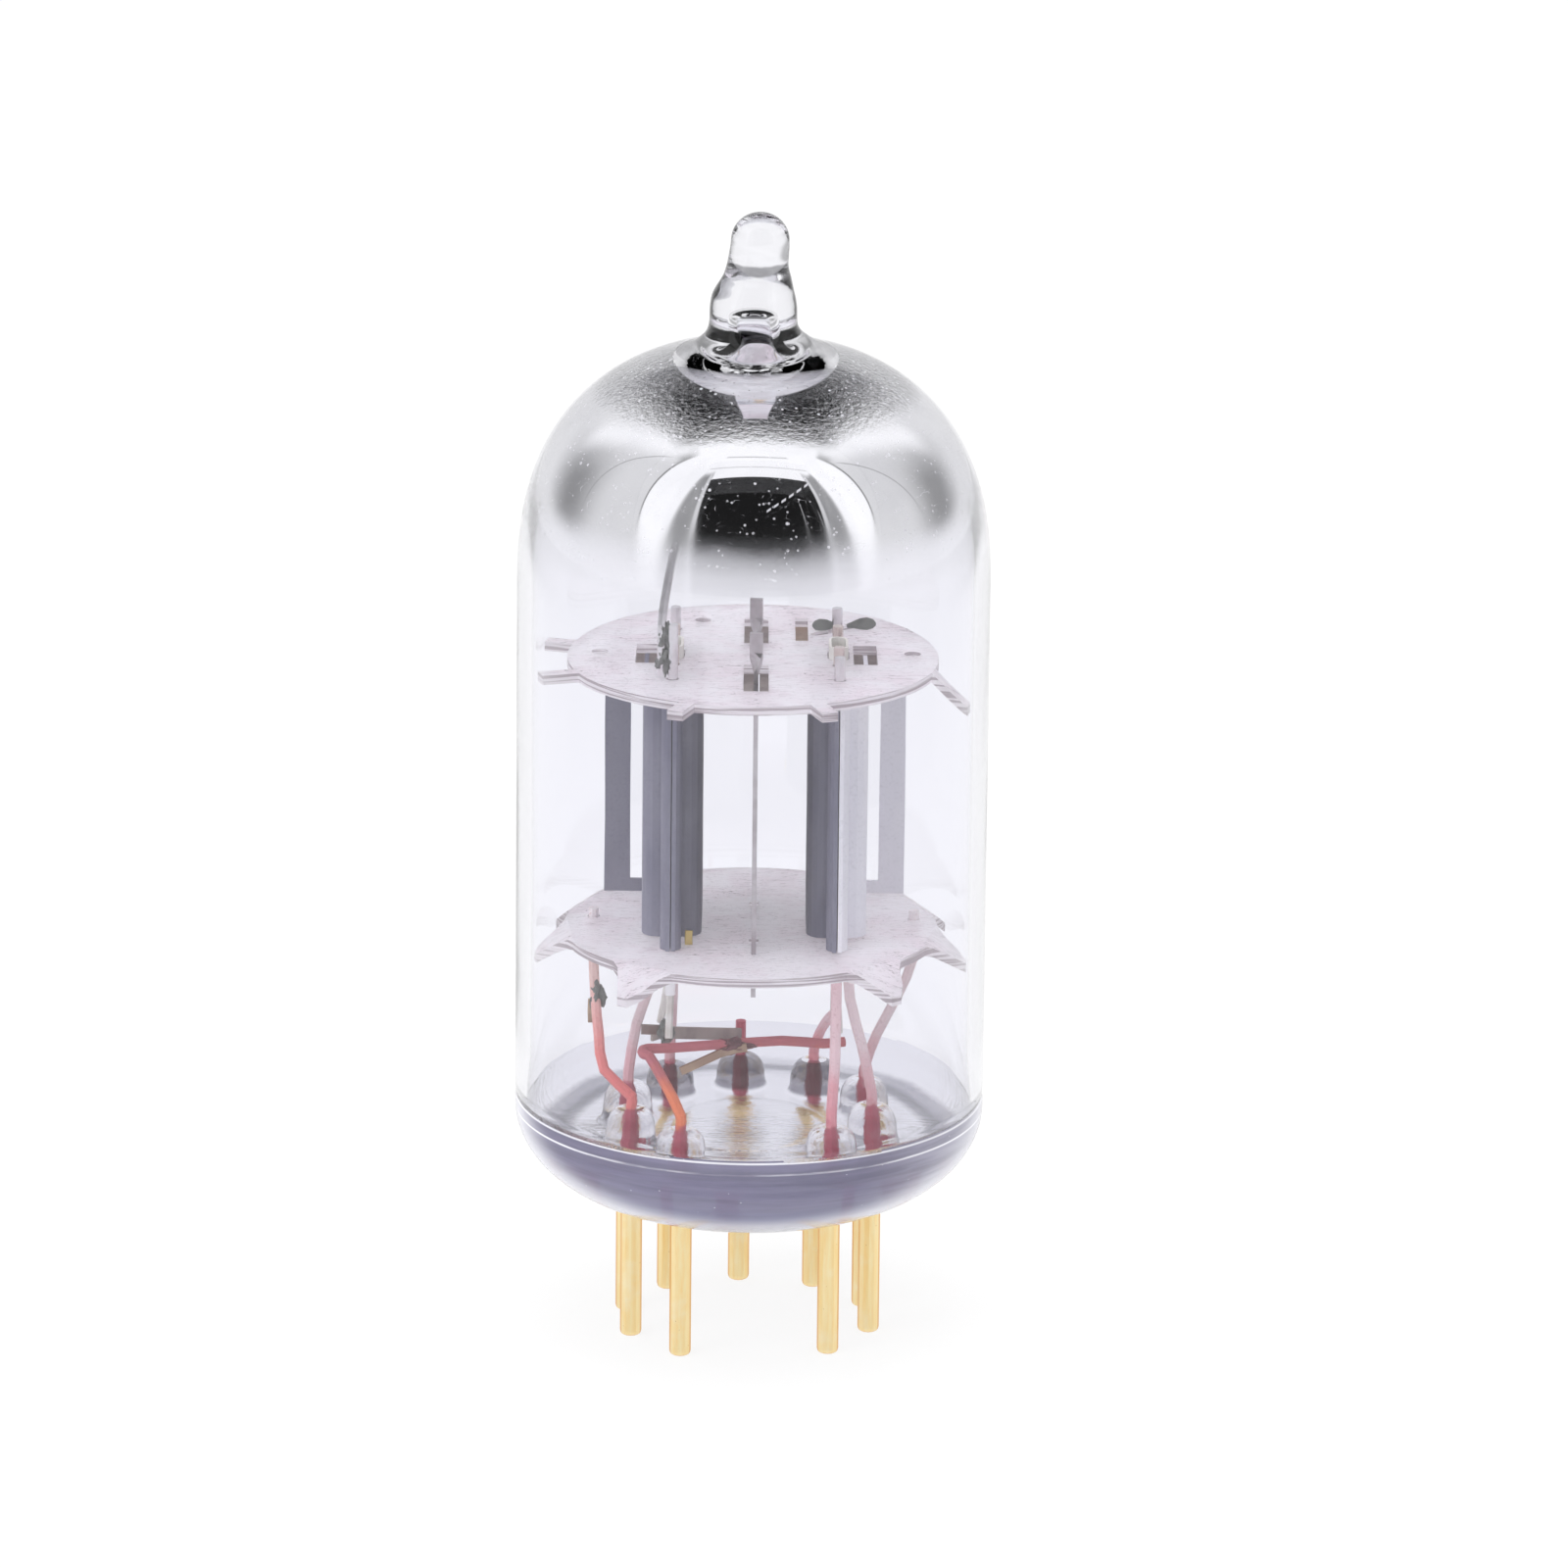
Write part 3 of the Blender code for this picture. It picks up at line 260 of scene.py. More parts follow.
# ---------------------------------------------------------------- studio
# greys of the light tent, as display values
TENT_GREY, BACK_GREY, SIDE_GREY, HORIZON_GREY = 224, 232, 152, 234
PATCH_GREY, ENDS_GREY, EDGE_GREY, SEAM_GREY = 22, 172, 100, 156
STRIP_GREY, RIM_GREY, OPENING_GREY, GLINT_GREY = 156, 222, 30, 190
# strengths of its bright parts, and of the even light that all but gloss and glass get
ARM_LIGHT, PANEL_LIGHT, COLUMN_LIGHT, EVEN_LIGHT = 1.05, 1.08, 1.08, 0.95

FLOOR_RADIUS, FLOOR_DROP = 0.6, 0.00002  # in metres
FLOOR_GLOW, FAR_FLOOR_GLOW = 0.93, 0.38  # what gloss and glass see of the floor, the second far out to the sides
FLOOR_SHARE = 0.86  # the glow's share of the floor's look, and lit paper has the rest
LAMP_TARGET = (0, 0, 0.03)


def make_world():
    """White soft light. Gloss and glass see a white light tent with a dark opening at the front."""
    world = bpy.data.worlds.new("studio")
    bpy.context.scene.world = world
    world.use_nodes = True
    g = Graph(world.node_tree)
    x, y, z = g.split(g.node("ShaderNodeTexCoord").outputs["Generated"])
    # a and b lay all directions out flat: 0, 0 is overhead, the horizon is at 1, and the front is at b = -1
    over = g.math("MAXIMUM", g.total(z, 1.0), 0.02)
    a, b = g.math("DIVIDE", x, over), g.math("DIVIDE", y, over)
    wide = g.math("ABSOLUTE", a)
    left = g.step(a, 0.01, -0.01)
    out = g.length(a, b)
    forward = g.math("MAXIMUM", g.product(b, -1.0), 0.02)
    u = g.math("DIVIDE", wide, forward)
    v = g.math("DIVIDE", z, g.math("MAXIMUM", g.product(y, -1.0), 0.02))
    is_front = g.step(b, -0.05, -0.10)

    def curve(value, start, slope, bend):
        return g.total(start, g.product(value, slope), g.product(value, value, bend))

    # tent: light grey, darker low at both sides, brighter near the horizon
    level = g.blend(g.step(b, 0.42, 0.62), srgb(TENT_GREY), srgb(BACK_GREY))
    side = g.product(g.band(wide, 0.48, 0.95, 0.14), g.band(b, 0.20, 0.60, 0.18))
    level = g.blend(side, level, srgb(SIDE_GREY))
    level = g.blend(g.step(out, 0.90, 1.0), level, srgb(HORIZON_GREY))
    # overhead: bright arms beside a dark soft patch
    arm_at = curve(b, 0.235, 0.52, -0.33)
    from_arm = g.math("SUBTRACT", wide, arm_at)
    arm = g.product(g.band(from_arm, -0.055, 0.055, 0.06), g.band(b, -0.03, 0.50, 0.09))
    level = g.blend(arm, level, ARM_LIGHT)
    from_patch = g.math("SUBTRACT", wide, g.total(0.225, g.product(b, 0.03)))
    patch = g.product(g.step(from_patch, 0.05, -0.05), g.band(b, 0.05, 0.58, 0.04))
    level = g.blend(patch, level, srgb(PATCH_GREY))
    # white panel over the opening, with its seams and darker ends
    ends = g.product(g.band(wide, 0.205, 0.262, 0.02), g.band(b, -0.20, -0.02, 0.03))
    level = g.blend(ends, level, srgb(ENDS_GREY))
    panel = g.product(g.band(a, -0.185, 0.205, 0.010), g.band(b, -0.23, 0.015, 0.03))
    level = g.blend(panel, level, PANEL_LIGHT)
    for start, bend, tone in ((0.085, -0.55, 188), (0.148, -0.3, 220)):
        seam = g.total(b, start, g.product(a, a, bend))
        seam = g.product(g.band(seam, -0.003, 0.003, 0.003), g.step(wide, 0.3, 0.27))
        level = g.blend(seam, level, srgb(tone))
    # front wall: white columns behind a thin dark edge, and an outer seam
    c = g.math("SUBTRACT", wide, 0.28)
    column_edge = g.blend(left, curve(c, -0.05, -0.25, -0.65), curve(c, -0.055, -0.30, -0.78))
    inside = g.math("SUBTRACT", b, column_edge)
    inner = g.blend(left, 1.34, 1.12)
    column = g.product(g.step(inside, 0.0, -0.012), g.step(g.math("SUBTRACT", u, inner), 0.0, 0.12))
    level = g.blend(column, level, COLUMN_LIGHT)
    edge = g.product(g.band(inside, -0.004, 0.004, 0.004), g.band(wide, 0.26, 0.78, 0.05))
    level = g.blend(edge, level, srgb(EDGE_GREY))
    seam_at = g.blend(left, curve(c, -0.03, 0.60, -0.35), curve(c, 0.0, 0.96, -1.0))
    from_seam = g.math("SUBTRACT", b, seam_at)
    seam = g.product(g.band(from_seam, -0.003, 0.003, 0.004), g.band(wide, 0.29, 0.90, 0.03))
    level = g.blend(seam, level, srgb(SEAM_GREY))
    # grey strips beside the dark opening
    rim = g.blend(left, g.total(0.84, g.product(v, 0.075)), g.total(0.61, g.product(v, 0.105)))
    beyond = g.math("SUBTRACT", u, rim)
    low_front = g.step(b, -0.15, -0.19)
    strip = g.product(g.step(beyond, -0.02, 0.0), g.step(g.math("SUBTRACT", u, inner), 0.08, -0.06), low_front)
    level = g.blend(strip, level, srgb(STRIP_GREY))
    pale_rim = g.product(g.band(beyond, 0.0, 0.075, 0.02), low_front)
    level = g.blend(pale_rim, level, srgb(RIM_GREY))
    opening = g.product(g.step(beyond, 0.012, -0.012), g.band(v, -0.12, 2.26, 0.02), is_front)
    level = g.blend(opening, level, srgb(OPENING_GREY))
    for line, reach in ((0.60, 1.2), (0.86, 1.05)):
        from_line = g.math("SUBTRACT", g.product(u, g.math("SIGN", a)), line)
        glint = g.product(g.band(from_line, -0.006, 0.006, 0.006), g.band(v, 0.1, reach, 0.1))
        level = g.blend(g.product(glint, 0.8), level, srgb(GLINT_GREY))
    path = g.node("ShaderNodeLightPath").outputs
    sharp = g.math("MAXIMUM", path["Is Glossy Ray"], path["Is Transmission Ray"])
    sharp = g.product(sharp, g.step(path["Diffuse Depth"], 0.6, 0.4))
    light = g.blend(sharp, EVEN_LIGHT, level)
    light = g.blend(path["Is Camera Ray"], light, 1.0)
    background = g.node("ShaderNodeBackground")
    g.put(light, background.inputs["Strength"])
    background.inputs["Color"].default_value = (1.0, 1.0, 1.0, 1.0)
    g.put(background.outputs[0], g.node("ShaderNodeOutputWorld").inputs["Surface"])


def make_lamp(name, place, target, size, watts):
    data = bpy.data.lights.new(name, "AREA")
    data.shape = "SQUARE"
    data.size = size
    data.energy = watts
    lamp = bpy.data.objects.new(name, data)
    lamp.location = place
    lamp.rotation_euler = (Vector(target) - Vector(place)).to_track_quat("-Z", "Y").to_euler()
    lamp.visible_camera = lamp.visible_glossy = lamp.visible_transmission = False
    bpy.context.scene.collection.objects.link(lamp)


def make_floor():
    bm = bmesh.new()
    bmesh.ops.create_circle(bm, cap_ends=True, radius=FLOOR_RADIUS, segments=96)
    mesh = bpy.data.meshes.new("floor")
    bm.to_mesh(mesh)
    bm.free()
    floor = bpy.data.objects.new("floor", mesh)
    bpy.context.scene.collection.objects.link(floor)
    floor.location.z = -FLOOR_DROP
    made, g = material("floor_white")
    path = g.node("ShaderNodeLightPath").outputs
    seen = g.math("MAXIMUM", path["Is Camera Ray"], path["Is Glossy Ray"])
    seen = g.math("MAXIMUM", seen, path["Is Transmission Ray"])
    paper = g.shader(Base_Color=(0.93, 0.93, 0.93), Roughness=0.9)
    glow = g.node("ShaderNodeEmission")
    wide = g.math("ABSOLUTE", g.split(g.node("ShaderNodeTexCoord").outputs["Object"])[0])
    far = g.product(g.step(wide, 0.09, 0.15), path["Is Transmission Ray"])
    bent = g.blend(far, FLOOR_GLOW, FAR_FLOOR_GLOW)
    g.put(g.blend(path["Is Camera Ray"], bent, 1.0), glow.inputs["Strength"])
    g.finish(g.mix_shader(g.product(seen, FLOOR_SHARE), paper, glow.outputs[0]))
    mesh.materials.append(made)


make_world()
make_floor()
make_lamp("top_lamp", (0.0, -0.05, 0.45), LAMP_TARGET, 0.35, 1.3)
make_lamp("left_lamp", (-0.35, -0.3, 0.25), LAMP_TARGET, 0.25, 0.8)


# ---------------------------------------------------------------- materials
def let_lamps_through(g, shader, tint=(0.95, 0.95, 0.97)):
    """Lamps shine straight through thin glass."""
    clear = g.node("ShaderNodeBsdfTransparent")
    clear.inputs["Color"].default_value = (*tint, 1.0)
    return g.mix_shader(g.node("ShaderNodeLightPath").outputs["Is Shadow Ray"], shader, clear.outputs[0])


GLASS_COLOUR = (0.955, 0.955, 0.992)
GLASS_IOR = 1.5


def glass_shader(g, tone, normal):
    return g.shader(Base_Color=tone, Roughness=0.0, IOR=GLASS_IOR, Transmission_Weight=1.0, Normal=normal)


def glass_parts(g):
    """Clear glass, faintly wavy, with fine dust."""
    wave = g.noise(g.place(scale=(0.16, 0.16, 0.05)), 1.0, 2.0)
    dust = g.specks(g.place(), 1.1, 0.05)
    tone = g.mix(g.product(dust, 0.25), GLASS_COLOUR, (0.75, 0.75, 0.78))
    return glass_shader(g, tone, g.bump(wave, 0.05, 0.0004))


def make_clear_glass():
    made, g = material("clear_blown_glass")
    g.finish(let_lamps_through(g, glass_parts(g)))
    return made


PAINTED_WAIST_SHADE = (51.66, 52.14)  # heights in mm of the painted shade line at the waist, standing in for the dark of thick glass; it wanders down by 0.15 on average
# heights in mm of the painted shade at the foot of the neck, standing in for its dark reflections
PAINTED_FOOT_SHADE = (47.6, 48.5)


def make_tip_glass():
    """The neck and the exhaust tip: clear glass with painted shade: dark outlines, stronger on the left, dark
    patches at the foot of the neck, the dark waist line of thick glass, and a dark rim seen from outside.
    """
    made, g = material("tip_glass_painted_shade")
    x, y, z = g.split(g.place())
    slant = g.slant()
    # painted shade: dark outlines where the glass is seen edge-on, stronger on the left
    painted_dark_outline = g.product(g.step(slant, 0.42, 0.85), g.step(x, 1.6, -1.4, 0.55, 1.0))
    wander = g.noise(g.place(), 0.9, 2.0)
    height = g.total(z, g.product(wander, 0.3))
    # painted shade: a dark line round the waist and dark patches at the foot of the neck
    painted_waist_shade = g.product(g.band(height, *PAINTED_WAIST_SHADE, 0.07), g.step(y, 0.1, -0.3), 0.9)
    painted_foot_shade = g.product(g.band(z, *PAINTED_FOOT_SHADE, 0.25), g.step(wander, 0.42, 0.62), 0.5)
    tone = g.mix(g.math("MAXIMUM", painted_dark_outline, painted_foot_shade), GLASS_COLOUR, (0.20, 0.20, 0.225))
    tone = g.mix(painted_waist_shade, tone, (0.09, 0.09, 0.10))
    normal = g.bump(g.noise(g.place(scale=(0.5, 0.5, 0.9)), 1.0, 2.0), 0.04, 0.0004)
    # painted shade: a dark rim where the outside of the glass is seen edge-on
    shade = g.shader(Base_Color=(0.14, 0.14, 0.15), Roughness=0.25, IOR=GLASS_IOR)
    rim = g.product(g.step(slant, 0.62, 0.92), g.blend(g.behind(), 0.6, 0.0))
    g.finish(let_lamps_through(g, g.mix_shader(rim, glass_shader(g, tone, normal), shade)))
    return made


# pale tone of painted reflection at the glass's edges and painted light on the base's right side
PAINTED_PALE_LIGHT = srgb(212, 212, 221)
LOW_PAINTED_HIGHLIGHT, HIGH_PAINTED_HIGHLIGHT = (10.88, 10.97), (11.43, 11.52)  # heights in mm of the two painted highlights at the seal


def make_base_glass():
    """The pressed curve under the bulb: clear glass under a painted dark blue-grey band of reflection and shade,
    which clears towards both ends, with painted highlights at the seal and pale painted light at its edges and right
    side.
    """
    made, g = material("pressed_base_glass_painted_band")
    x, _, z = g.split(g.place())
    uneven = g.noise(g.place(scale=(0.10, 0.10, 0.5)), 1.0, 3.0)
    streak = g.noise(g.place(scale=(0.14, 0.14, 2.2), move=(3, 1, 2)), 1.0, 4.0, 0.6)
    height = g.total(z, g.product(g.math("SUBTRACT", uneven, 0.5), 0.7))
    # the painted band of shade and reflection: dark blue-grey in streaks, bluer and paler in bands of height
    dark = g.mix(g.step(streak, 0.35, 0.65), srgb(98, 96, 118), srgb(110, 107, 132))
    dark = g.mix(g.product(g.band(height, 7.9, 8.7, 0.5), 0.7), dark, srgb(98, 101, 132))
    dark = g.mix(g.product(g.band(height, 6.6, 7.5, 0.3), 0.7), dark, srgb(150, 149, 162))
    # painted reflection: paler where the glass is seen edge-on, and painted light towards the right side
    slant = g.slant()
    dark = g.mix(g.step(slant, 0.48, 0.90), dark, PAINTED_PALE_LIGHT)
    dark = g.mix(g.product(g.step(x, 5.0, 10.0), g.blend(streak, 0.0, 0.6)), dark, PAINTED_PALE_LIGHT)
    # painted highlights: two bright lines at the seal
    sideways = g.math("DIVIDE", g.math("ABSOLUTE", x), 11.0)
    low_highlight = g.product(g.band(z, *LOW_PAINTED_HIGHLIGHT, 0.035), g.step(streak, 0.35, 0.5), g.blend(sideways, 0.25, 1.0))
    high_highlight = g.product(g.band(z, *HIGH_PAINTED_HIGHLIGHT, 0.03), g.blend(streak, 0.5, 1.0))
    dark = g.mix(g.math("MAXIMUM", low_highlight, high_highlight), dark, srgb(238, 238, 244))
    dark = g.mix(g.product(g.specks(g.place(), 1.5, 0.06), 0.7), dark, srgb(215, 215, 222))
    fine = g.noise(g.place(scale=(0.5, 0.5, 1.5)), 1.0, 2.0)
    normal = g.bump(g.total(fine, g.product(streak, 0.3)), 0.06, 0.0003)
    coat = g.shader(Base_Color=dark, Roughness=0.12, IOR=GLASS_IOR, Normal=normal)
    clear = let_lamps_through(g, glass_shader(g, srgb(222, 222, 234), normal), srgb(200, 200, 215))
    # where the painted band covers the clear glass, seen from outside and from inside
    from_outside = g.product(g.step(height, 6.7, 8.1), g.step(slant, 1.0, 0.86))
    from_inside = g.product(g.band(height, 7.9, 9.4, 0.3), g.step(sideways, 0.35, 0.75, 0.22, 0.58))
    cover = g.product(g.blend(g.behind(), from_outside, from_inside), g.blend(streak, 0.86, 0.97))
    g.finish(g.mix_shader(cover, clear, coat))
    return made


def make_floor_glass():
    """The inner floor: clear, rippled by the press, with painted shade: dark edges on the front beads, dark rear
    beads and a dark ring round the floor's edge by the wall.
    """
    made, g = material("pressed_floor_glass_painted_shade")
    ripple = g.noise(g.place(scale=(1.0, 3.2, 1.0), turn=(0, 0, 0.2)), 1.0, 4.0, 0.6, 0.8)
    broad = g.noise(g.place(), 0.5, 2.0)
    normal = g.bump(g.total(ripple, g.product(broad, 0.6)), 0.24, 0.0003)
    x, y, z = g.split(g.place())
    # painted shade: the front beads get dark edges where seen edge-on, and the rear beads go dark
    rear = g.step(y, 1.0, 4.0)
    bead = g.product(g.math("MAXIMUM", g.upright(), rear), g.step(z, 9.9, 10.1))
    radius = g.length(x, y)
    bead = g.product(bead, g.step(radius, 8.3, 8.1))
    painted_front_bead_shade = g.mix(g.step(g.slant(), 0.60, 0.85), (0.70, 0.69, 0.72), (0.10, 0.10, 0.12))
    tone = g.mix(bead, GLASS_COLOUR, g.mix(rear, painted_front_bead_shade, (0.15, 0.14, 0.17)))
    # painted shade: a dark ring round the floor's edge, by the corner with the wall
    ring = g.product(g.band(radius, 8.35, 9.25, 0.3), g.blend(ripple, 0.7, 1.0))
    tone = g.mix(ring, tone, (0.12, 0.12, 0.14))
    g.finish(let_lamps_through(g, glass_shader(g, tone, normal)))
    return made


FILM_FADE = (  # height in mm and how much of the glass the mirror film covers there
    (38.3, 0.0), (38.9, 0.10), (39.4, 0.18), (39.9, 0.32), (40.2, 0.45),
    (40.5, 0.63), (40.75, 0.81), (41.0, 0.94), (41.4, 1.0),
)


SCRATCH = ((0.55, 2.35), (42.35, 43.35))  # a dashed scratch in the film: from and to x, from and to z, in mm
FILM_HOLE = (3.58, 3.70)  # radius in mm where the film starts round the exhaust hole
HOLE_SQUEEZE = 0.78  # the hole reaches further to the front than to the sides by this factor
TONGUE = (-5.95, -4.60)  # from and to y in mm of the clear tongue at the front of the hole
FROST = (44.4, 45.6)  # heights in mm between which the film turns grainy


def make_film():
    """The getter's mirror film inside the dome: bright, grainy at the top, fading out at its lower edge."""
    made, g = material("mirror_film")
    x, y, z = g.split(g.place())
    soft = g.noise(g.place(), 0.35, 3.0)
    grain = g.noise(g.place(), 6.0, 3.0, 0.7)
    height = g.total(z, g.product(g.math("SUBTRACT", soft, 0.5), 0.7))
    height = g.total(height, g.product(g.math("SUBTRACT", grain, 0.5), 0.25))
    low, high = FILM_FADE[0][0], FILM_FADE[-1][0]
    share = g.math("DIVIDE", g.math("SUBTRACT", height, low), high - low, clamp=True)
    cover = g.ramp(share, [((at - low) / (high - low), value) for at, value in FILM_FADE])
    towards_front = g.product(g.math("MINIMUM", y, 0.0), HOLE_SQUEEZE)
    behind = g.math("MAXIMUM", y, 0.0)
    edge_y = g.total(towards_front, behind)
    hole = g.length(x, edge_y)
    narrow = g.step(y, *TONGUE, 0.50, 0.86)
    tongue = g.step(g.math("SUBTRACT", g.math("ABSOLUTE", x), narrow), -0.02, 0.08)
    tongue = g.math("MAXIMUM", g.math("MAXIMUM", tongue, g.step(y, -5.85, -5.95)), g.step(y, -3.2, -3.0))
    cover = g.product(cover, g.step(hole, *FILM_HOLE), g.math("MAXIMUM", tongue, g.step(z, 45.0, 44.9)))
    frost = g.step(z, *FROST)
    rub = g.noise(g.place(scale=(0.7, 1.0, 1.4)), 4.5, 4.0, 0.65, 0.4)
    normal = g.bump(g.product(frost, rub), 0.29, 0.00008)
    chosen = g.step(g.noise(g.place(move=(9, 1, 5)), 0.9, 2.0), 0.45, 0.55)
    dots = g.product(g.specks(g.place(), 1.7, 0.16), chosen)
    dots = g.math("MAXIMUM", dots, g.product(g.specks(g.place(move=(3, 3, 3)), 3.0, 0.22), chosen, 0.8))
    thread = g.noise(g.place(scale=(0.9, 0.9, 2.2), turn=(0.2, 0.6, 0.3)), 1.0, 1.0, distortion=0.6)
    scratch = g.product(g.band(thread, 0.497, 0.503, 0.003), g.step(g.noise(g.place(), 1.6), 0.52, 0.66))
    along, off = SCRATCH
    run = g.math("DIVIDE", g.math("SUBTRACT", x, along[0]), along[1] - along[0])
    line_z = g.blend(run, off[0], off[1])
    dashes = g.step(g.math("SINE", g.product(run, 34.0)), -0.5, 0.0)
    from_line = g.math("SUBTRACT", z, line_z)
    dashed = g.product(g.band(from_line, -0.045, 0.045, 0.03), g.band(run, 0.0, 1.0, 0.02))
    dashed = g.product(dashed, g.step(y, -6.0, -7.0), dashes)
    marks = g.math("MAXIMUM", g.math("MAXIMUM", dots, scratch), dashed)
    tone = g.mix(g.step(soft, 0.3, 0.7), (0.90, 0.90, 0.915), (0.97, 0.97, 0.98))
    rough = g.total(0.012, g.product(frost, 0.03), g.product(g.step(z, 42.5, 40.5), 0.10), g.product(soft, 0.02))
    metal = g.shader(Base_Color=tone, Metallic=1.0, Roughness=rough, Normal=normal)
    pale = g.shader(Base_Color=(0.80, 0.80, 0.83), Roughness=0.6)
    metal = g.mix_shader(g.product(marks, 0.9), metal, pale)
    g.finish(let_lamps_through(g, g.mix_shader(cover, glass_parts(g), metal), (0.82, 0.82, 0.83)))
    return made


def make_metal(name, colour, second, rough=0.25, streaks=(1.0, 1.0, 0.12), grain=3.0, bump=0.15, metallic=1.0):
    """Metal with drawn streaks, patches of a second tone and a fine uneven finish."""
    made, g = material(name)
    drawn = g.noise(g.place(scale=streaks), grain, 4.0, 0.6)
    patches = g.noise(g.place(), 0.7, 3.0)
    fine = g.noise(g.place(), 14.0, 2.0)
    tone = g.mix(g.step(patches, 0.35, 0.7), colour, second)
    tone = g.mix(g.product(g.step(drawn, 0.55, 0.8), 0.35), tone, [c * 0.72 for c in colour])
    uneven = g.total(rough, g.product(g.math("SUBTRACT", drawn, 0.5), 0.25), g.product(fine, 0.06))
    normal = g.bump(g.total(drawn, g.product(fine, 0.3)), bump, 0.00004)
    g.finish(g.shader(Base_Color=tone, Metallic=metallic, Roughness=uneven, Normal=normal))
    return made


def make_gold():
    """Satin gold plating, drawn along the pin, with painted shade deepening it towards its edges, and a few darker
    dots.
    """
    made, g = material("gold_plate_satin")
    drawn = g.noise(g.place(scale=(1.6, 1.6, 0.16)), 3.0, 4.0, 0.6)
    fine = g.noise(g.place(), 16.0, 3.0)
    patches = g.noise(g.place(move=(4, 2, 1)), 0.9, 3.0)
    tone = g.mix(g.step(drawn, 0.30, 0.75), srgb(255, 236, 186), srgb(255, 225, 162))
    tone = g.mix(g.product(g.step(patches, 0.5, 0.75), 0.5), tone, srgb(255, 242, 208))
    # painted shade: deeper gold where the pin is seen edge-on
    tone = g.mix(g.step(g.slant(), 0.42, 0.88), tone, srgb(236, 178, 96))
    tone = g.mix(g.product(g.specks(g.place(), 2.6, 0.07), 0.6), tone, srgb(176, 128, 60))
    rough = g.total(0.30, g.product(drawn, 0.16), g.product(fine, 0.06))
    normal = g.bump(g.total(drawn, g.product(fine, 0.4)), 0.13, 0.00005)
    g.finish(g.shader(Base_Color=tone, Metallic=1.0, Roughness=rough, Normal=normal))
    return made


def make_lead(name, seal, low, high, change=(12.0, 15.0)):
    """Copper clad wire: deep red where the glass holds it, pink above, nearly white at its top."""
    made, g = material(name)
    z = g.split(g.place())[2]
    cloud = g.noise(g.place(), 1.1, 3.0)
    fine = g.noise(g.place(), 9.0, 3.0)
    height = g.total(z, g.product(g.math("SUBTRACT", cloud, 0.5), 2.4))
    tone = g.mix(g.step(height, *change), low, high)
    tone = g.mix(g.step(height, 11.7, 11.2), tone, seal)
    tone = g.mix(g.step(z, 19.2, 19.5), tone, srgb(250, 242, 243))
    tone = g.mix(g.product(g.step(fine, 0.52, 0.75), 0.35), tone, [c * 0.55 for c in low])
    rough = g.total(0.34, g.product(fine, 0.22))
    normal = g.bump(fine, 0.2, 0.00004)
    g.finish(g.shader(Base_Color=tone, Metallic=0.12, Roughness=rough, Normal=normal))
    return made


def make_carbonised(name, dark, light, metallic=0.15):
    """Dark grey carbonised sheet, faintly grained, a little lighter in soft patches."""
    made, g = material(name)
    cloud = g.noise(g.place(scale=(0.35, 0.35, 0.14)), 1.0, 3.0)
    grain = g.noise(g.place(), 7.0, 3.0, 0.65)
    tone = g.mix(g.step(cloud, 0.35, 0.7), dark, light)
    tone = g.mix(g.product(g.step(grain, 0.5, 0.7), 0.25), tone, [c * 0.6 for c in dark])
    rough = g.total(0.42, g.product(grain, 0.2))
    normal = g.bump(grain, 0.15, 0.00004)
    g.finish(g.shader(Base_Color=tone, Metallic=metallic, Roughness=rough, Normal=normal))
    return made


def make_mica():
    """Layered mica: whitish with pink clouds, scratches on its face and split layers at its edge, and a faint
    painted glow in its own colour.
    """
    made, g = material("layered_mica_painted_glow")
    edge = g.upright()
    cloud = g.noise(g.place(move=(2, 7, 1)), 0.45, 4.0, 0.6, 0.5)
    streak = g.noise(g.place(scale=(0.9, 5.0, 1.0), turn=(0, 0, 0.6)), 0.8, 3.0, 0.6, 0.4)
    layers = g.noise(g.place(scale=(0.12, 0.12, 7.5)), 1.0, 3.0, 0.6, 0.3)
    tone = g.mix(g.step(cloud, 0.35, 0.7), srgb(252, 250, 252), srgb(248, 238, 243))
    scratch = g.noise(g.place(scale=(0.5, 3.2, 1.0), turn=(0, 0, -0.35), move=(5, 1, 0)), 1.0, 2.0, 0.5, 0.3)
    faint = g.product(g.band(streak, 0.490, 0.510, 0.008), 0.5)
    clear = g.product(g.band(scratch, 0.492, 0.506, 0.004), g.step(cloud, 0.50, 0.58), 0.9)
    tone = g.mix(g.math("MAXIMUM", faint, clear), tone, srgb(104, 96, 102))
    layered = g.mix(g.step(layers, 0.45, 0.55), srgb(150, 136, 142), srgb(246, 242, 244))
    tone = g.mix(edge, tone, layered)
    rough = g.total(0.36, g.product(cloud, 0.22))
    height = g.total(g.product(streak, 0.6), g.product(edge, layers))
    normal = g.bump(height, 0.35, 0.00008)
    # painted light: the mica glows faintly in its own colour
    shader = g.shader(Base_Color=tone, Roughness=rough, IOR=1.56, Transmission_Weight=0.45, Alpha=0.8, Normal=normal,
                      Emission_Color=tone, Emission_Strength=0.07)
    g.finish(let_lamps_through(g, shader, (0.6, 0.59, 0.6)))
    return made


def make_coat(name, colour, second):
    """Chalky white coating on metal."""
    made, g = material(name)
    grain = g.noise(g.place(), 11.0, 4.0, 0.7)
    cloud = g.noise(g.place(), 0.8, 2.0)
    tone = g.mix(g.step(cloud, 0.4, 0.7), colour, second)
    normal = g.bump(grain, 0.5, 0.00004)
    g.finish(g.shader(Base_Color=tone, Roughness=g.total(0.72, g.product(grain, 0.25)), Normal=normal))
    return made


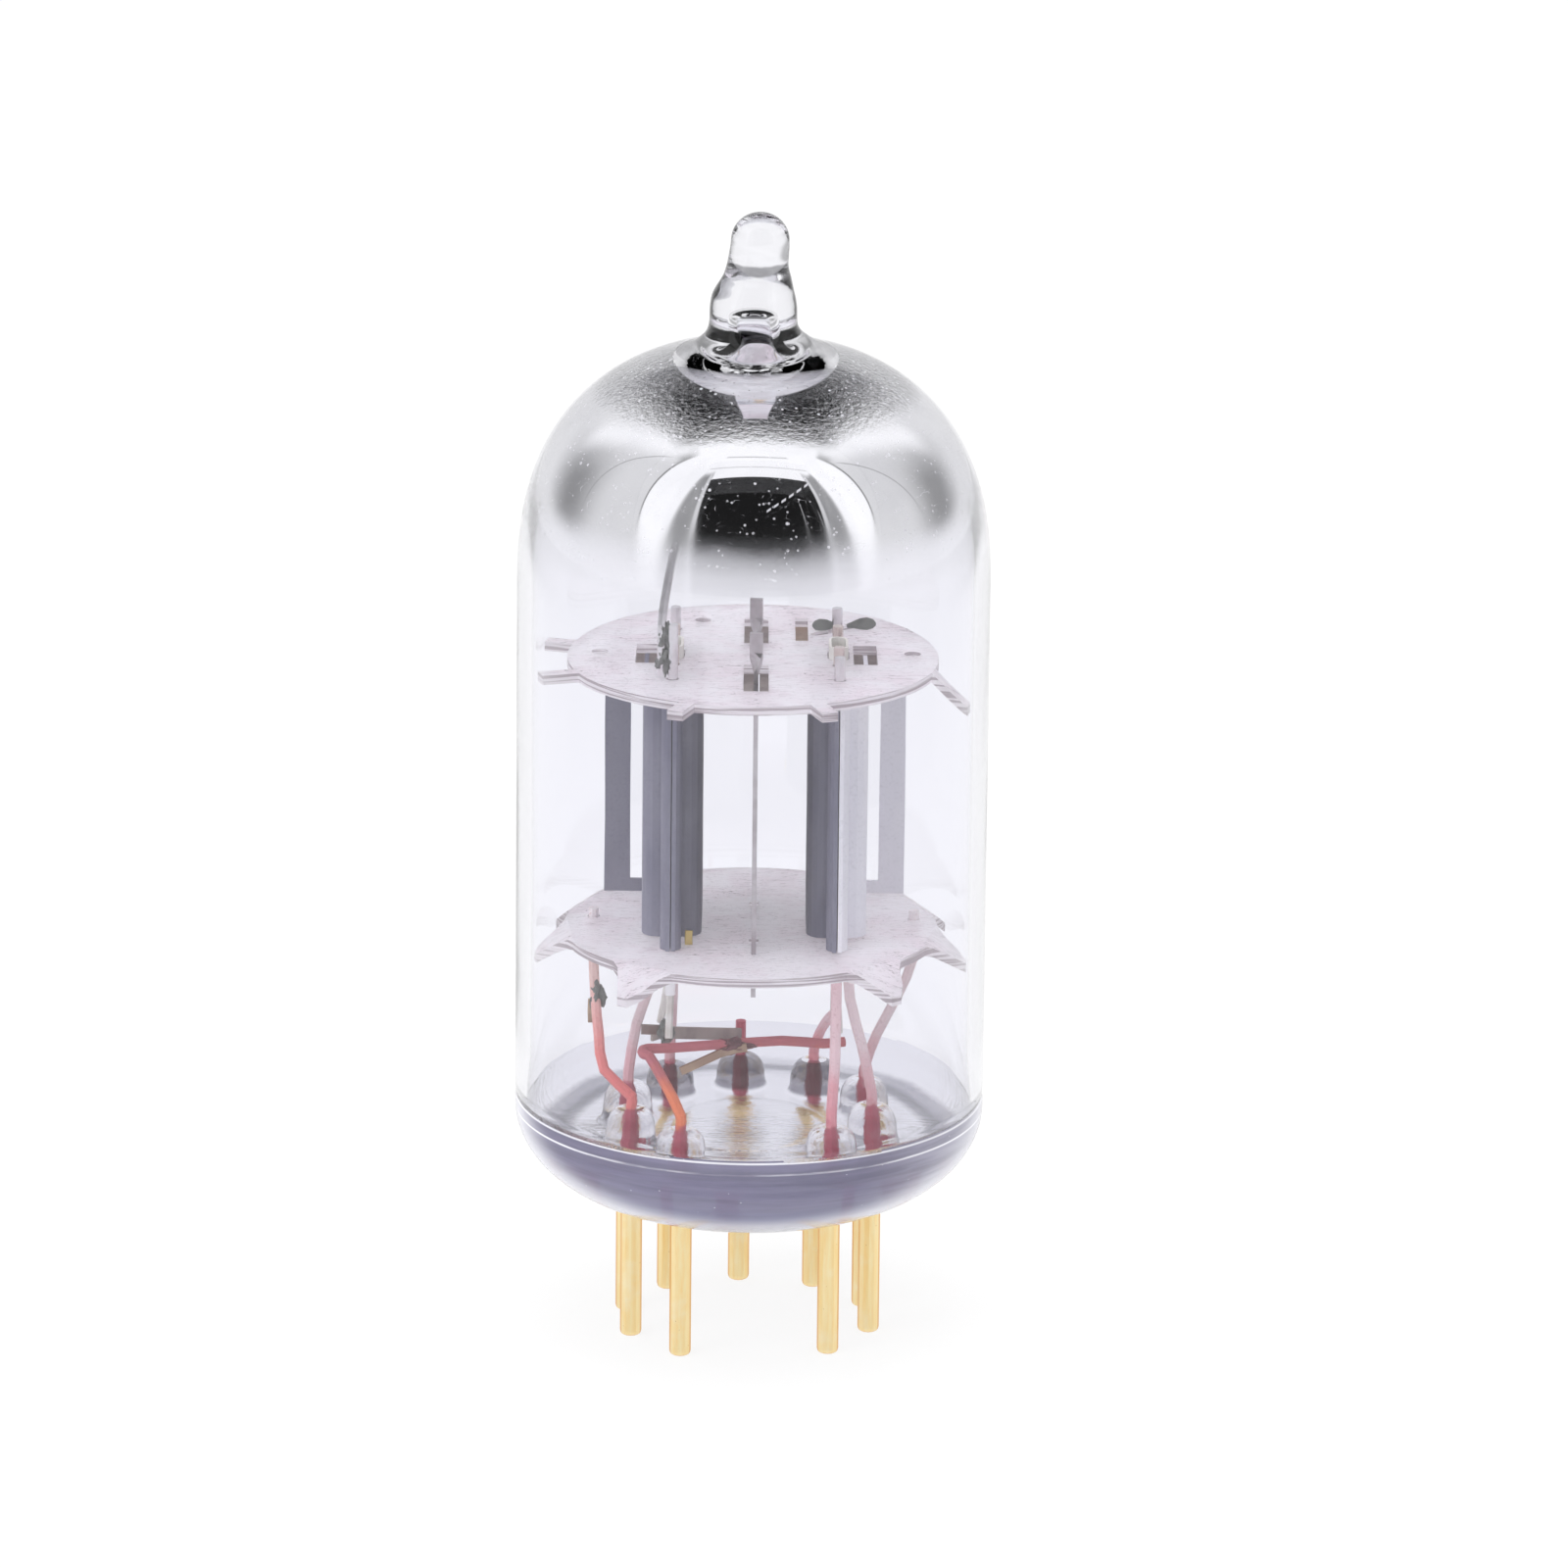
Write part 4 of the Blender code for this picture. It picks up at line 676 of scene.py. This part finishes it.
CLEAR = make_clear_glass()
BASE_GLASS = make_base_glass()
FLOOR_GLASS = make_floor_glass()
FILM = make_film()
TIP_GLASS = make_tip_glass()
GOLD = make_gold()
SEAL_RED = srgb(206, 84, 108)
PINK_LEAD = make_lead("lead_pink", SEAL_RED, srgb(248, 164, 174), srgb(255, 222, 226))
PALE_LEAD = make_lead("lead_pale", SEAL_RED, srgb(240, 188, 194), srgb(250, 230, 232))
ORANGE_LEAD = make_lead("lead_orange", SEAL_RED, srgb(252, 140, 96), srgb(196, 110, 120), (12.2, 14.4))
RED_LEAD = make_lead("lead_red", SEAL_RED, srgb(204, 92, 112), srgb(200, 130, 134), (13.2, 14.6))
CORAL_LEAD = make_lead("lead_coral", SEAL_RED, srgb(248, 136, 134), srgb(255, 222, 214), (13.0, 17.6))
NICKEL = make_metal("nickel_drawn", srgb(232, 230, 232), srgb(210, 206, 208), 0.16)
NICKEL_SHEET = make_metal("nickel_sheet", srgb(206, 202, 204), srgb(178, 170, 174), 0.3, (0.3, 0.3, 0.3), 2.0)
TAN_STRIP = make_metal("strip_tan", srgb(196, 172, 148), srgb(170, 142, 124), 0.35, (0.2, 0.8, 0.8), 2.0)
GREY_STRIP = make_metal("strip_grey", srgb(178, 166, 160), srgb(150, 136, 132), 0.35, (0.2, 0.8, 0.8), 2.0)
GRID_ROD = make_metal("grid_rod", srgb(226, 214, 208), srgb(206, 190, 182), 0.22)
WINDING = make_metal("winding_wire", srgb(214, 198, 160), srgb(190, 172, 136), 0.3, (2, 2, 2), 4.0)
ANODE_DARK = make_carbonised("anode_dark", srgb(124, 123, 142), srgb(146, 145, 160))
# a lit copy of the carbonised anode: painted light for the right anode's outer half
ANODE_PAINTED_LIT = make_carbonised("anode_painted_lit", srgb(242, 241, 247), srgb(250, 249, 252), 0.02)
WELD = make_metal("weld_dark", srgb(140, 142, 138), srgb(104, 104, 104), 0.42, (1.0, 1.0, 1.0), 4.0, 0.5, 0.5)
LEAD_WELD = make_metal("weld_red", srgb(160, 112, 116), srgb(120, 84, 90), 0.45, (1.0, 1.0, 1.0), 4.0, 0.4, 0.6)
BRASS_TAB = make_metal("tab_brass", srgb(222, 200, 128), srgb(204, 178, 104), 0.3, (1.0, 1.0, 0.3), 3.0)
MICA = make_mica()
OXIDE = make_coat("oxide_coat", srgb(240, 238, 232), srgb(226, 222, 214))
ALUMINA = make_coat("alumina_coat", srgb(238, 236, 230), srgb(218, 214, 206))

NODE_MATERIALS = {
    "upper_mica": MICA, "lower_mica": MICA,
    "left_anode_inner": ANODE_DARK, "left_anode_outer": ANODE_DARK,
    # the right anode's outer half takes the painted lit copy of the carbonised anode
    "right_anode_inner": ANODE_DARK, "right_anode_outer": ANODE_PAINTED_LIT,
    "centre_shield": NICKEL_SHEET, "getter_ring": NICKEL_SHEET, "getter_support": NICKEL,
    "left_cathode_link": TAN_STRIP, "right_cathode_link": TAN_STRIP, "left_heater_link": GREY_STRIP,
}
for side in ("left", "right"):
    for end in ("front", "rear"):
        NODE_MATERIALS[f"{side}_anode_rod_{end}"] = NICKEL
        NODE_MATERIALS[f"{side}_grid_rod_{end}"] = GRID_ROD
    NODE_MATERIALS[f"{side}_grid_winding"] = WINDING
    NODE_MATERIALS[f"{side}_cathode"] = OXIDE
    NODE_MATERIALS[f"{side}_heater"] = ALUMINA
LEAD_MATERIALS = {1: PINK_LEAD, 2: PALE_LEAD, 3: PALE_LEAD, 4: PINK_LEAD, 5: RED_LEAD,
                  6: PALE_LEAD, 7: PALE_LEAD, 8: CORAL_LEAD, 9: ORANGE_LEAD}
for number in range(1, 10):
    NODE_MATERIALS[f"base_pin_{number}"] = GOLD
    NODE_MATERIALS[f"lead_wire_{number}"] = LEAD_MATERIALS[number]
for name, node_material in NODE_MATERIALS.items():
    for slot in NODES[name].material_slots:
        slot.material = node_material


# ---------------------------------------------------------------- meshes
def new_object(name, mesh):
    made = bpy.data.objects.new(name, mesh)
    bpy.context.scene.collection.objects.link(made)
    return made


def turned(name, profile, steps, wobble=None):
    """A closed turned solid from a profile of (radius, height) points that starts and ends on the axis."""
    bm = bmesh.new()
    rings = []
    for radius, height in profile:
        if radius < 1e-9:
            rings.append([bm.verts.new((0.0, 0.0, height))])
            continue
        ring = []
        for i in range(steps):
            angle = 2 * math.pi * i / steps
            r, z = wobble(radius, height, angle) if wobble else (radius, height)
            ring.append(bm.verts.new((r * math.cos(angle), r * math.sin(angle), z)))
        rings.append(ring)
    for low, high in zip(rings, rings[1:]):
        for i in range(steps):
            j = (i + 1) % steps
            corners = [low[i % len(low)], low[j % len(low)], high[j % len(high)], high[i % len(high)]]
            unique = []
            for corner in corners:
                if corner not in unique:
                    unique.append(corner)
            bm.faces.new(unique)
    bmesh.ops.recalc_face_normals(bm, faces=bm.faces)
    mesh = bpy.data.meshes.new(name)
    bm.to_mesh(mesh)
    bm.free()
    mesh.shade_smooth()
    return mesh


def oval(centre, radius, height, start, end, count):
    points = []
    for i in range(count + 1):
        angle = math.radians(start + (end - start) * i / count)
        points.append((centre[0] + radius * math.cos(angle), centre[1] + height * math.sin(angle)))
    return points


def smooth_through(points, count):
    """A smooth curve through the points, with count steps between each two."""
    result = []
    for i in range(len(points) - 1):
        before, a, b, after = points[max(i - 1, 0)], points[i], points[i + 1], points[min(i + 2, len(points) - 1)]
        for k in range(count):
            t = k / count
            result.append(tuple(
                0.5 * (2 * a[n] + (b[n] - before[n]) * t + (2 * before[n] - 5 * a[n] + 4 * b[n] - after[n]) * t * t
                       + (3 * a[n] - before[n] - 3 * b[n] + after[n]) * t ** 3) for n in (0, 1)))
    result.append(points[-1])
    return result


# sizes and heights in millimetres
PIN_CIRCLE_RADIUS = 5.945
PIN_TURN = math.radians(4.1)
SEAT_Z = 6.35
BASE_FLAT_RADIUS, BASE_SIDE = 4.4, 4.65
BASE_EDGE_Z = 11.0
FLOOR_Z = 9.85
FLOOR_CORNER = 1.1
SEAL_Z, SEAL_REACH, SEAL_WAVE = 11.6, 0.35, 0.10
OUTER_WALL_Z, INNER_WALL_Z = 12.1, 12.0
SHOULDER = 36.5
BULB_RADIUS = 11.08
INNER_RADIUS = 10.33
TIP_RADIUS, TIP_ROUND_Z, TIP_TOP = 1.36, 52.95, 54.25
HOLE_RADIUS, HOLE_ROUND_Z, HOLE_TOP = 0.78, 49.3, 49.70
BEAD_FOOT = 1.5
DOME_FULLNESS = 2.4
STEPS = 168
BEAD_STEPS = 28

# where the glass body changes its look: below, above, below, above these heights
BASE_LOOK_UNDER, TIP_LOOK_OVER, FLOOR_LOOK_UNDER, FILM_OVER = 11.55, 47.6, 11.46, 37.8
PLAIN, BASE_LOOK, FILM_LOOK, FLOOR_LOOK, TIP_LOOK = range(5)


def pin_place(number):
    angle = PIN_TURN + 2 * math.pi * number / 10
    return PIN_CIRCLE_RADIUS * math.sin(angle), -PIN_CIRCLE_RADIUS * math.cos(angle)


def dome(radius, height, until, count):
    last = math.acos((until / radius) ** (DOME_FULLNESS / 2))
    points = []
    for i in range(count + 1):
        angle = last * i / count
        points.append((radius * math.cos(angle) ** (2 / DOME_FULLNESS),
                       SHOULDER + height * math.sin(angle) ** (2 / DOME_FULLNESS)))
    return points


def outer_profile():
    """Base, seal, side, dome, neck and exhaust tip, in millimetres."""
    points = [(0.0, SEAT_Z), (2.2, SEAT_Z), (4.0, SEAT_Z)]
    points += oval((BASE_FLAT_RADIUS, BASE_EDGE_Z), BULB_RADIUS - BASE_FLAT_RADIUS, BASE_SIDE, -90.0, 0.0, 26)
    points += [(BULB_RADIUS, 11.2), (11.075, 11.35), (11.045, 11.5), (11.03, 11.62), (11.045, 11.74), (11.075, 11.9),
               (BULB_RADIUS, OUTER_WALL_Z)]
    points += [(BULB_RADIUS, OUTER_WALL_Z + (SHOULDER - OUTER_WALL_Z) * i / 12) for i in range(1, 12)]
    points += dome(BULB_RADIUS, 11.45, 3.85, 34)
    neck = [points[-1], (3.40, 47.72), (2.97, 47.93), (2.58, 48.22), (2.26, 48.52), (2.08, 48.88), (2.04, 49.30),
            (2.03, 49.75), (1.95, 50.26), (1.82, 50.64), (1.66, 51.03), (1.52, 51.41), (1.43, 51.80),
            (1.40, 52.20), (1.38, 52.57), (TIP_RADIUS, TIP_ROUND_Z)]
    points += smooth_through(neck, 3)[1:]
    points += oval((0.0, TIP_ROUND_Z), TIP_RADIUS, 1.30, 0.0, 90.0, 12)[1:]
    points[-1] = (0.0, TIP_TOP)
    return points


def inner_profile():
    """The cavity: floor with its ridge and rounded corner, wall, dome and the closed end of the exhaust hole."""
    floor = ((0.0, 0.0), (2.6, 0.0), (3.1, 0.02), (3.35, 0.10), (3.55, 0.13), (3.75, 0.10), (4.0, 0.02), (4.4, 0.0),
             (6.0, 0.0), (8.0, 0.0))  # radius and height above the floor, with the low ridge
    points = [(radius, FLOOR_Z + rise) for radius, rise in floor]
    corner = (INNER_RADIUS - FLOOR_CORNER, FLOOR_Z + FLOOR_CORNER)
    points += oval(corner, FLOOR_CORNER, FLOOR_CORNER, -90.0, 0.0, 10)
    points += [(INNER_RADIUS, 11.3), (10.34, 11.5), (10.37, 11.65), (10.35, 11.8), (INNER_RADIUS, INNER_WALL_Z)]
    points += [(INNER_RADIUS, INNER_WALL_Z + (SHOULDER - INNER_WALL_Z) * i / 10) for i in range(1, 10)]
    points += dome(INNER_RADIUS, 10.35, 2.6, 34)
    hole = [points[-1], (2.10, 46.74), (1.72, 46.62), (1.40, 46.70), (1.10, 47.05), (0.88, 47.55), (0.80, 48.2),
            (HOLE_RADIUS, HOLE_ROUND_Z)]
    points += smooth_through(hole, 3)[1:]
    points += oval((0.0, HOLE_ROUND_Z), HOLE_RADIUS, 0.40, 0.0, 90.0, 6)[1:]
    points[-1] = (0.0, HOLE_TOP)
    return points


def in_metres(profile):
    return [(radius * MM, height * MM) for radius, height in profile]


TIP_LEAN = ((47.8, 0.0), (49.0, -0.14), (50.3, -0.14), (51.4, 0.02), (53.0, 0.15))  # height and sideways shift


def lean_at(z):
    """How far the neck and the tip stand sideways at a height, in millimetres."""
    for (low, before), (high, after) in zip(TIP_LEAN, TIP_LEAN[1:]):
        if low <= z < high:
            share = (z - low) / (high - low)
            return before + (after - before) * share * share * (3 - 2 * share)
    return TIP_LEAN[-1][1] if z >= TIP_LEAN[-1][0] else 0.0


def uneven(radius, height, angle):
    """Fused glass is never quite even: a slight wave at the seal."""
    z = height / MM
    near_seal = math.exp(-((z - SEAL_Z) / SEAL_REACH) ** 2)
    wave = noise.noise(Vector((math.cos(angle) * 1.3, math.sin(angle) * 1.3, z * 0.08)))
    height += near_seal * wave * SEAL_WAVE * MM
    return radius, height


def make_bead(number):
    """A bead of glass round a lead, bell-shaped, as a cutter for the cavity."""
    tall = 0.12 * noise.noise(Vector((number * 1.7, 0.3, 0.0)))
    profile = [(0.0, FLOOR_Z - 0.8), (BEAD_FOOT, FLOOR_Z - 0.8), (BEAD_FOOT, FLOOR_Z - 0.02)]
    side = [(BEAD_FOOT, FLOOR_Z - 0.02), (1.30, FLOOR_Z + 0.10), (1.18, FLOOR_Z + 0.35), (1.15, FLOOR_Z + 0.75),
            (1.06, FLOOR_Z + 1.15), (0.82, FLOOR_Z + 1.47 + tall), (0.52, FLOOR_Z + 1.60 + tall),
            (0.30, FLOOR_Z + 1.60 + tall)]
    profile += smooth_through(side, 3)[1:]
    profile.append((0.0, FLOOR_Z + 1.56 + tall))
    mesh = turned(f"bead_{number}", in_metres(profile), BEAD_STEPS)
    bead = new_object(f"bead_{number}", mesh)
    x, y = pin_place(number)
    bead.location = (x * MM, y * MM, 0.0)
    return bead


def make_glass():
    """One fused glass body: outer skin and cavity, with the mirror film on the inside of the dome."""
    cavity = new_object("cavity", turned("cavity", in_metres(inner_profile()), STEPS, uneven))
    beads = bpy.data.collections.new("beads")
    for number in range(1, 10):
        bead = make_bead(number)
        bpy.context.scene.collection.objects.unlink(bead)
        beads.objects.link(bead)
    bpy.context.scene.collection.children.link(beads)
    bpy.context.view_layer.update()
    modifier = cavity.modifiers.new("beads", "BOOLEAN")
    modifier.operation = "DIFFERENCE"
    modifier.operand_type = "COLLECTION"
    modifier.collection = beads
    modifier.solver = "EXACT"
    done = cavity.evaluated_get(bpy.context.evaluated_depsgraph_get())
    inside = bpy.data.meshes.new_from_object(done)
    bpy.data.objects.remove(cavity)
    for bead in list(beads.objects):
        bpy.data.objects.remove(bead)
    bpy.data.collections.remove(beads)
    outside = turned("outside", in_metres(outer_profile()), STEPS, uneven)
    bm = bmesh.new()
    bm.from_mesh(inside)
    bmesh.ops.reverse_faces(bm, faces=bm.faces)
    for face in bm.faces:
        middle = face.calc_center_median().z / MM
        face.material_index = FILM_LOOK if middle > FILM_OVER else FLOOR_LOOK if middle < FLOOR_LOOK_UNDER else PLAIN
    inner_count = len(bm.faces)
    bm.from_mesh(outside)
    bm.faces.ensure_lookup_table()
    for face in bm.faces[inner_count:]:
        middle = face.calc_center_median()
        look = BASE_LOOK if middle.z < BASE_LOOK_UNDER * MM else TIP_LOOK if middle.z > TIP_LOOK_OVER * MM else PLAIN
        face.material_index = look
    for vertex in bm.verts:
        vertex.co.x += lean_at(vertex.co.z / MM) * MM
    mesh = bpy.data.meshes.new("glass_body")
    bm.to_mesh(mesh)
    bm.free()
    mesh.shade_smooth()
    body = new_object("glass_body", mesh)
    for made in (CLEAR, BASE_GLASS, FILM, FLOOR_GLASS, TIP_GLASS):
        mesh.materials.append(made)
    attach(body, "root")
    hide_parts("glass_envelope", "glass_base")


make_glass()


# ---------------------------------------------------------------- small trim
STRIP_SHEET, THIN_SHEET = 0.12, 0.08  # in mm
# height in mm of the sheets of painted shade under the upper mica's slots
SLOT_SHADE_Z = 32.46
RAGGED = 0.75  # how far a weld's surface strays from an oval


def make_ribbon(name, points, width, thickness, across, made):
    """A flat bent strip along the points, all in millimetres, with its width along the direction across.
    The width is a number, or a tuple with one for each point."""
    bm = bmesh.new()
    points = [Vector(p) for p in points]
    widths = width if isinstance(width, tuple) else (width,) * len(points)
    thick, cut = thickness / 2, thickness * 0.3
    rings = []
    for i, point in enumerate(points):
        half = widths[i] / 2
        corners = [(half - cut, thick), (half, thick - cut), (half, cut - thick), (half - cut, -thick),
                   (cut - half, -thick), (-half, cut - thick), (-half, thick - cut), (cut - half, thick)]
        ahead = (points[min(i + 1, len(points) - 1)] - points[max(i - 1, 0)]).normalized()
        side = Vector(across)
        side = (side - ahead * side.dot(ahead)).normalized()
        up = side.cross(ahead)
        rings.append([bm.verts.new((point + side * a + up * b) * MM) for a, b in corners])
    for low, high in zip(rings, rings[1:]):
        for i in range(8):
            bm.faces.new((low[i], low[(i + 1) % 8], high[(i + 1) % 8], high[i]))
    bm.faces.new(rings[0])
    bm.faces.new(rings[-1])
    bmesh.ops.recalc_face_normals(bm, faces=bm.faces)
    mesh = bpy.data.meshes.new(name)
    bm.to_mesh(mesh)
    bm.free()
    mesh.materials.append(made)
    piece = new_object(name, mesh)
    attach(piece, "root")


def make_lump(name, centre, size, seed, made):
    """A ragged spot of weld metal round a joint, in millimetres."""
    bm = bmesh.new()
    bmesh.ops.create_icosphere(bm, subdivisions=4, radius=1.0)
    for vertex in bm.verts:
        rough = noise.noise(vertex.co * 1.7 + Vector((seed, 0, 0)))
        rough += 0.5 * noise.noise(vertex.co * 4.1 + Vector((0, seed, 0)))
        grown = vertex.co * (1.0 + RAGGED * rough)
        vertex.co = Vector([(c + g * s) * MM for c, g, s in zip(centre, grown, size)])
    mesh = bpy.data.meshes.new(name)
    bm.to_mesh(mesh)
    bm.free()
    mesh.shade_smooth()
    mesh.materials.append(made)
    piece = new_object(name, mesh)
    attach(piece, "root")


# welds and strip ends under the lower mica, and the tab above it
make_lump("lead_8_weld", (-7.20, 0.10, 16.15), (0.36, 0.34, 0.55), 1.3, WELD)
lead_stub = [(-7.50, 0.05, 16.0), (-7.52, 0.02, 15.4), (-7.50, 0.0, 14.85)]
make_ribbon("lead_8_stub", lead_stub, 0.30, STRIP_SHEET, (1, 0, 0), TAN_STRIP)
make_lump("heater_weld", (-3.92, -1.70, 14.90), (0.34, 0.30, 0.50), 4.7, WELD)
heater_stub = [(-5.10, -1.5, 15.02), (-4.5, -1.5, 15.00), (-3.85, -1.5, 14.98)]
make_ribbon("heater_stub", heater_stub, 0.50, STRIP_SHEET, (0, 0, 1), GREY_STRIP)
bus_strip = [(-3.21, -2.05, 13.13), (-2.3, -2.0, 13.56), (-1.37, -2.0, 14.02), (-0.7, -2.0, 14.22),
             (-0.12, -2.0, 14.32)]
make_ribbon("bus_strip", bus_strip, 0.42, STRIP_SHEET, (0.45, 0, -1), TAN_STRIP)
make_lump("bus_weld", (-0.75, -1.80, 14.35), (0.75, 0.30, 0.30), 8.2, LEAD_WELD)
tab = [(-2.86, -3.5, 19.8), (-2.88, -3.5, 20.2), (-2.86, -3.5, 20.55)]
make_ribbon("mica_tab", tab, 0.36, STRIP_SHEET, (1, 0, 0), BRASS_TAB)
# the two leaves of the spring on the upper mica
LEAF_WIDTHS = (0.16, 0.30, 0.52, 0.60, 0.42, 0.14)
for end, start, reach, rise in (("left", 4.02, 2.80, 0.0), ("right", 4.46, 5.86, 0.12)):
    leaf = [(start + (reach - start) * t, 4.22, 33.22 + rise * t + 0.06 * math.sin(math.pi * t))
            for t in (0, 0.2, 0.45, 0.7, 0.9, 1)]
    make_ribbon(f"spring_leaf_{end}", leaf, LEAF_WIDTHS, THIN_SHEET, (0, 0.35, 1), WELD)
# sheets under the upper mica's slots, painted shade that darkens the slots seen from above: name, centre x and y,
# length, width, material
for name, x, y, length, width, made in (
        ("left_slot_shade_sheet", -4.76, 0.9, 3.2, 1.5, GREY_STRIP),
        ("tan_slot_shade_sheet", 2.33, 5.1, 4.2, 0.9, TAN_STRIP),
        ("shield_slot_shade_left", -0.22, -3.0, 5.0, 0.60, GREY_STRIP),
        ("shield_slot_shade_right", 0.58, -3.0, 5.0, 0.54, GREY_STRIP),
        ("shield_slot_shade_rear_left", -0.22, 4.8, 4.6, 0.60, GREY_STRIP),
        ("shield_slot_shade_rear_right", 0.58, 4.8, 4.6, 0.54, GREY_STRIP),
        ("right_slot_shade_sheet", 5.24, 1.2, 3.3, 1.5, GREY_STRIP)):
    run = [(x, y - length / 2, SLOT_SHADE_Z), (x, y, SLOT_SHADE_Z), (x, y + length / 2, SLOT_SHADE_Z)]
    make_ribbon(name, run, width, THIN_SHEET, (1, 0, 0), made)
# the getter wire's weld to its rod
make_lump("getter_weld_low", (-4.10, -4.25, 33.9), (0.30, 0.26, 0.55), 2.1, WELD)
make_lump("getter_weld_high", (-4.08, -4.22, 35.0), (0.26, 0.24, 0.60), 6.4, WELD)

# ---------------------------------------------------------------- finish
bpy.context.scene.view_settings.view_transform = "Standard"
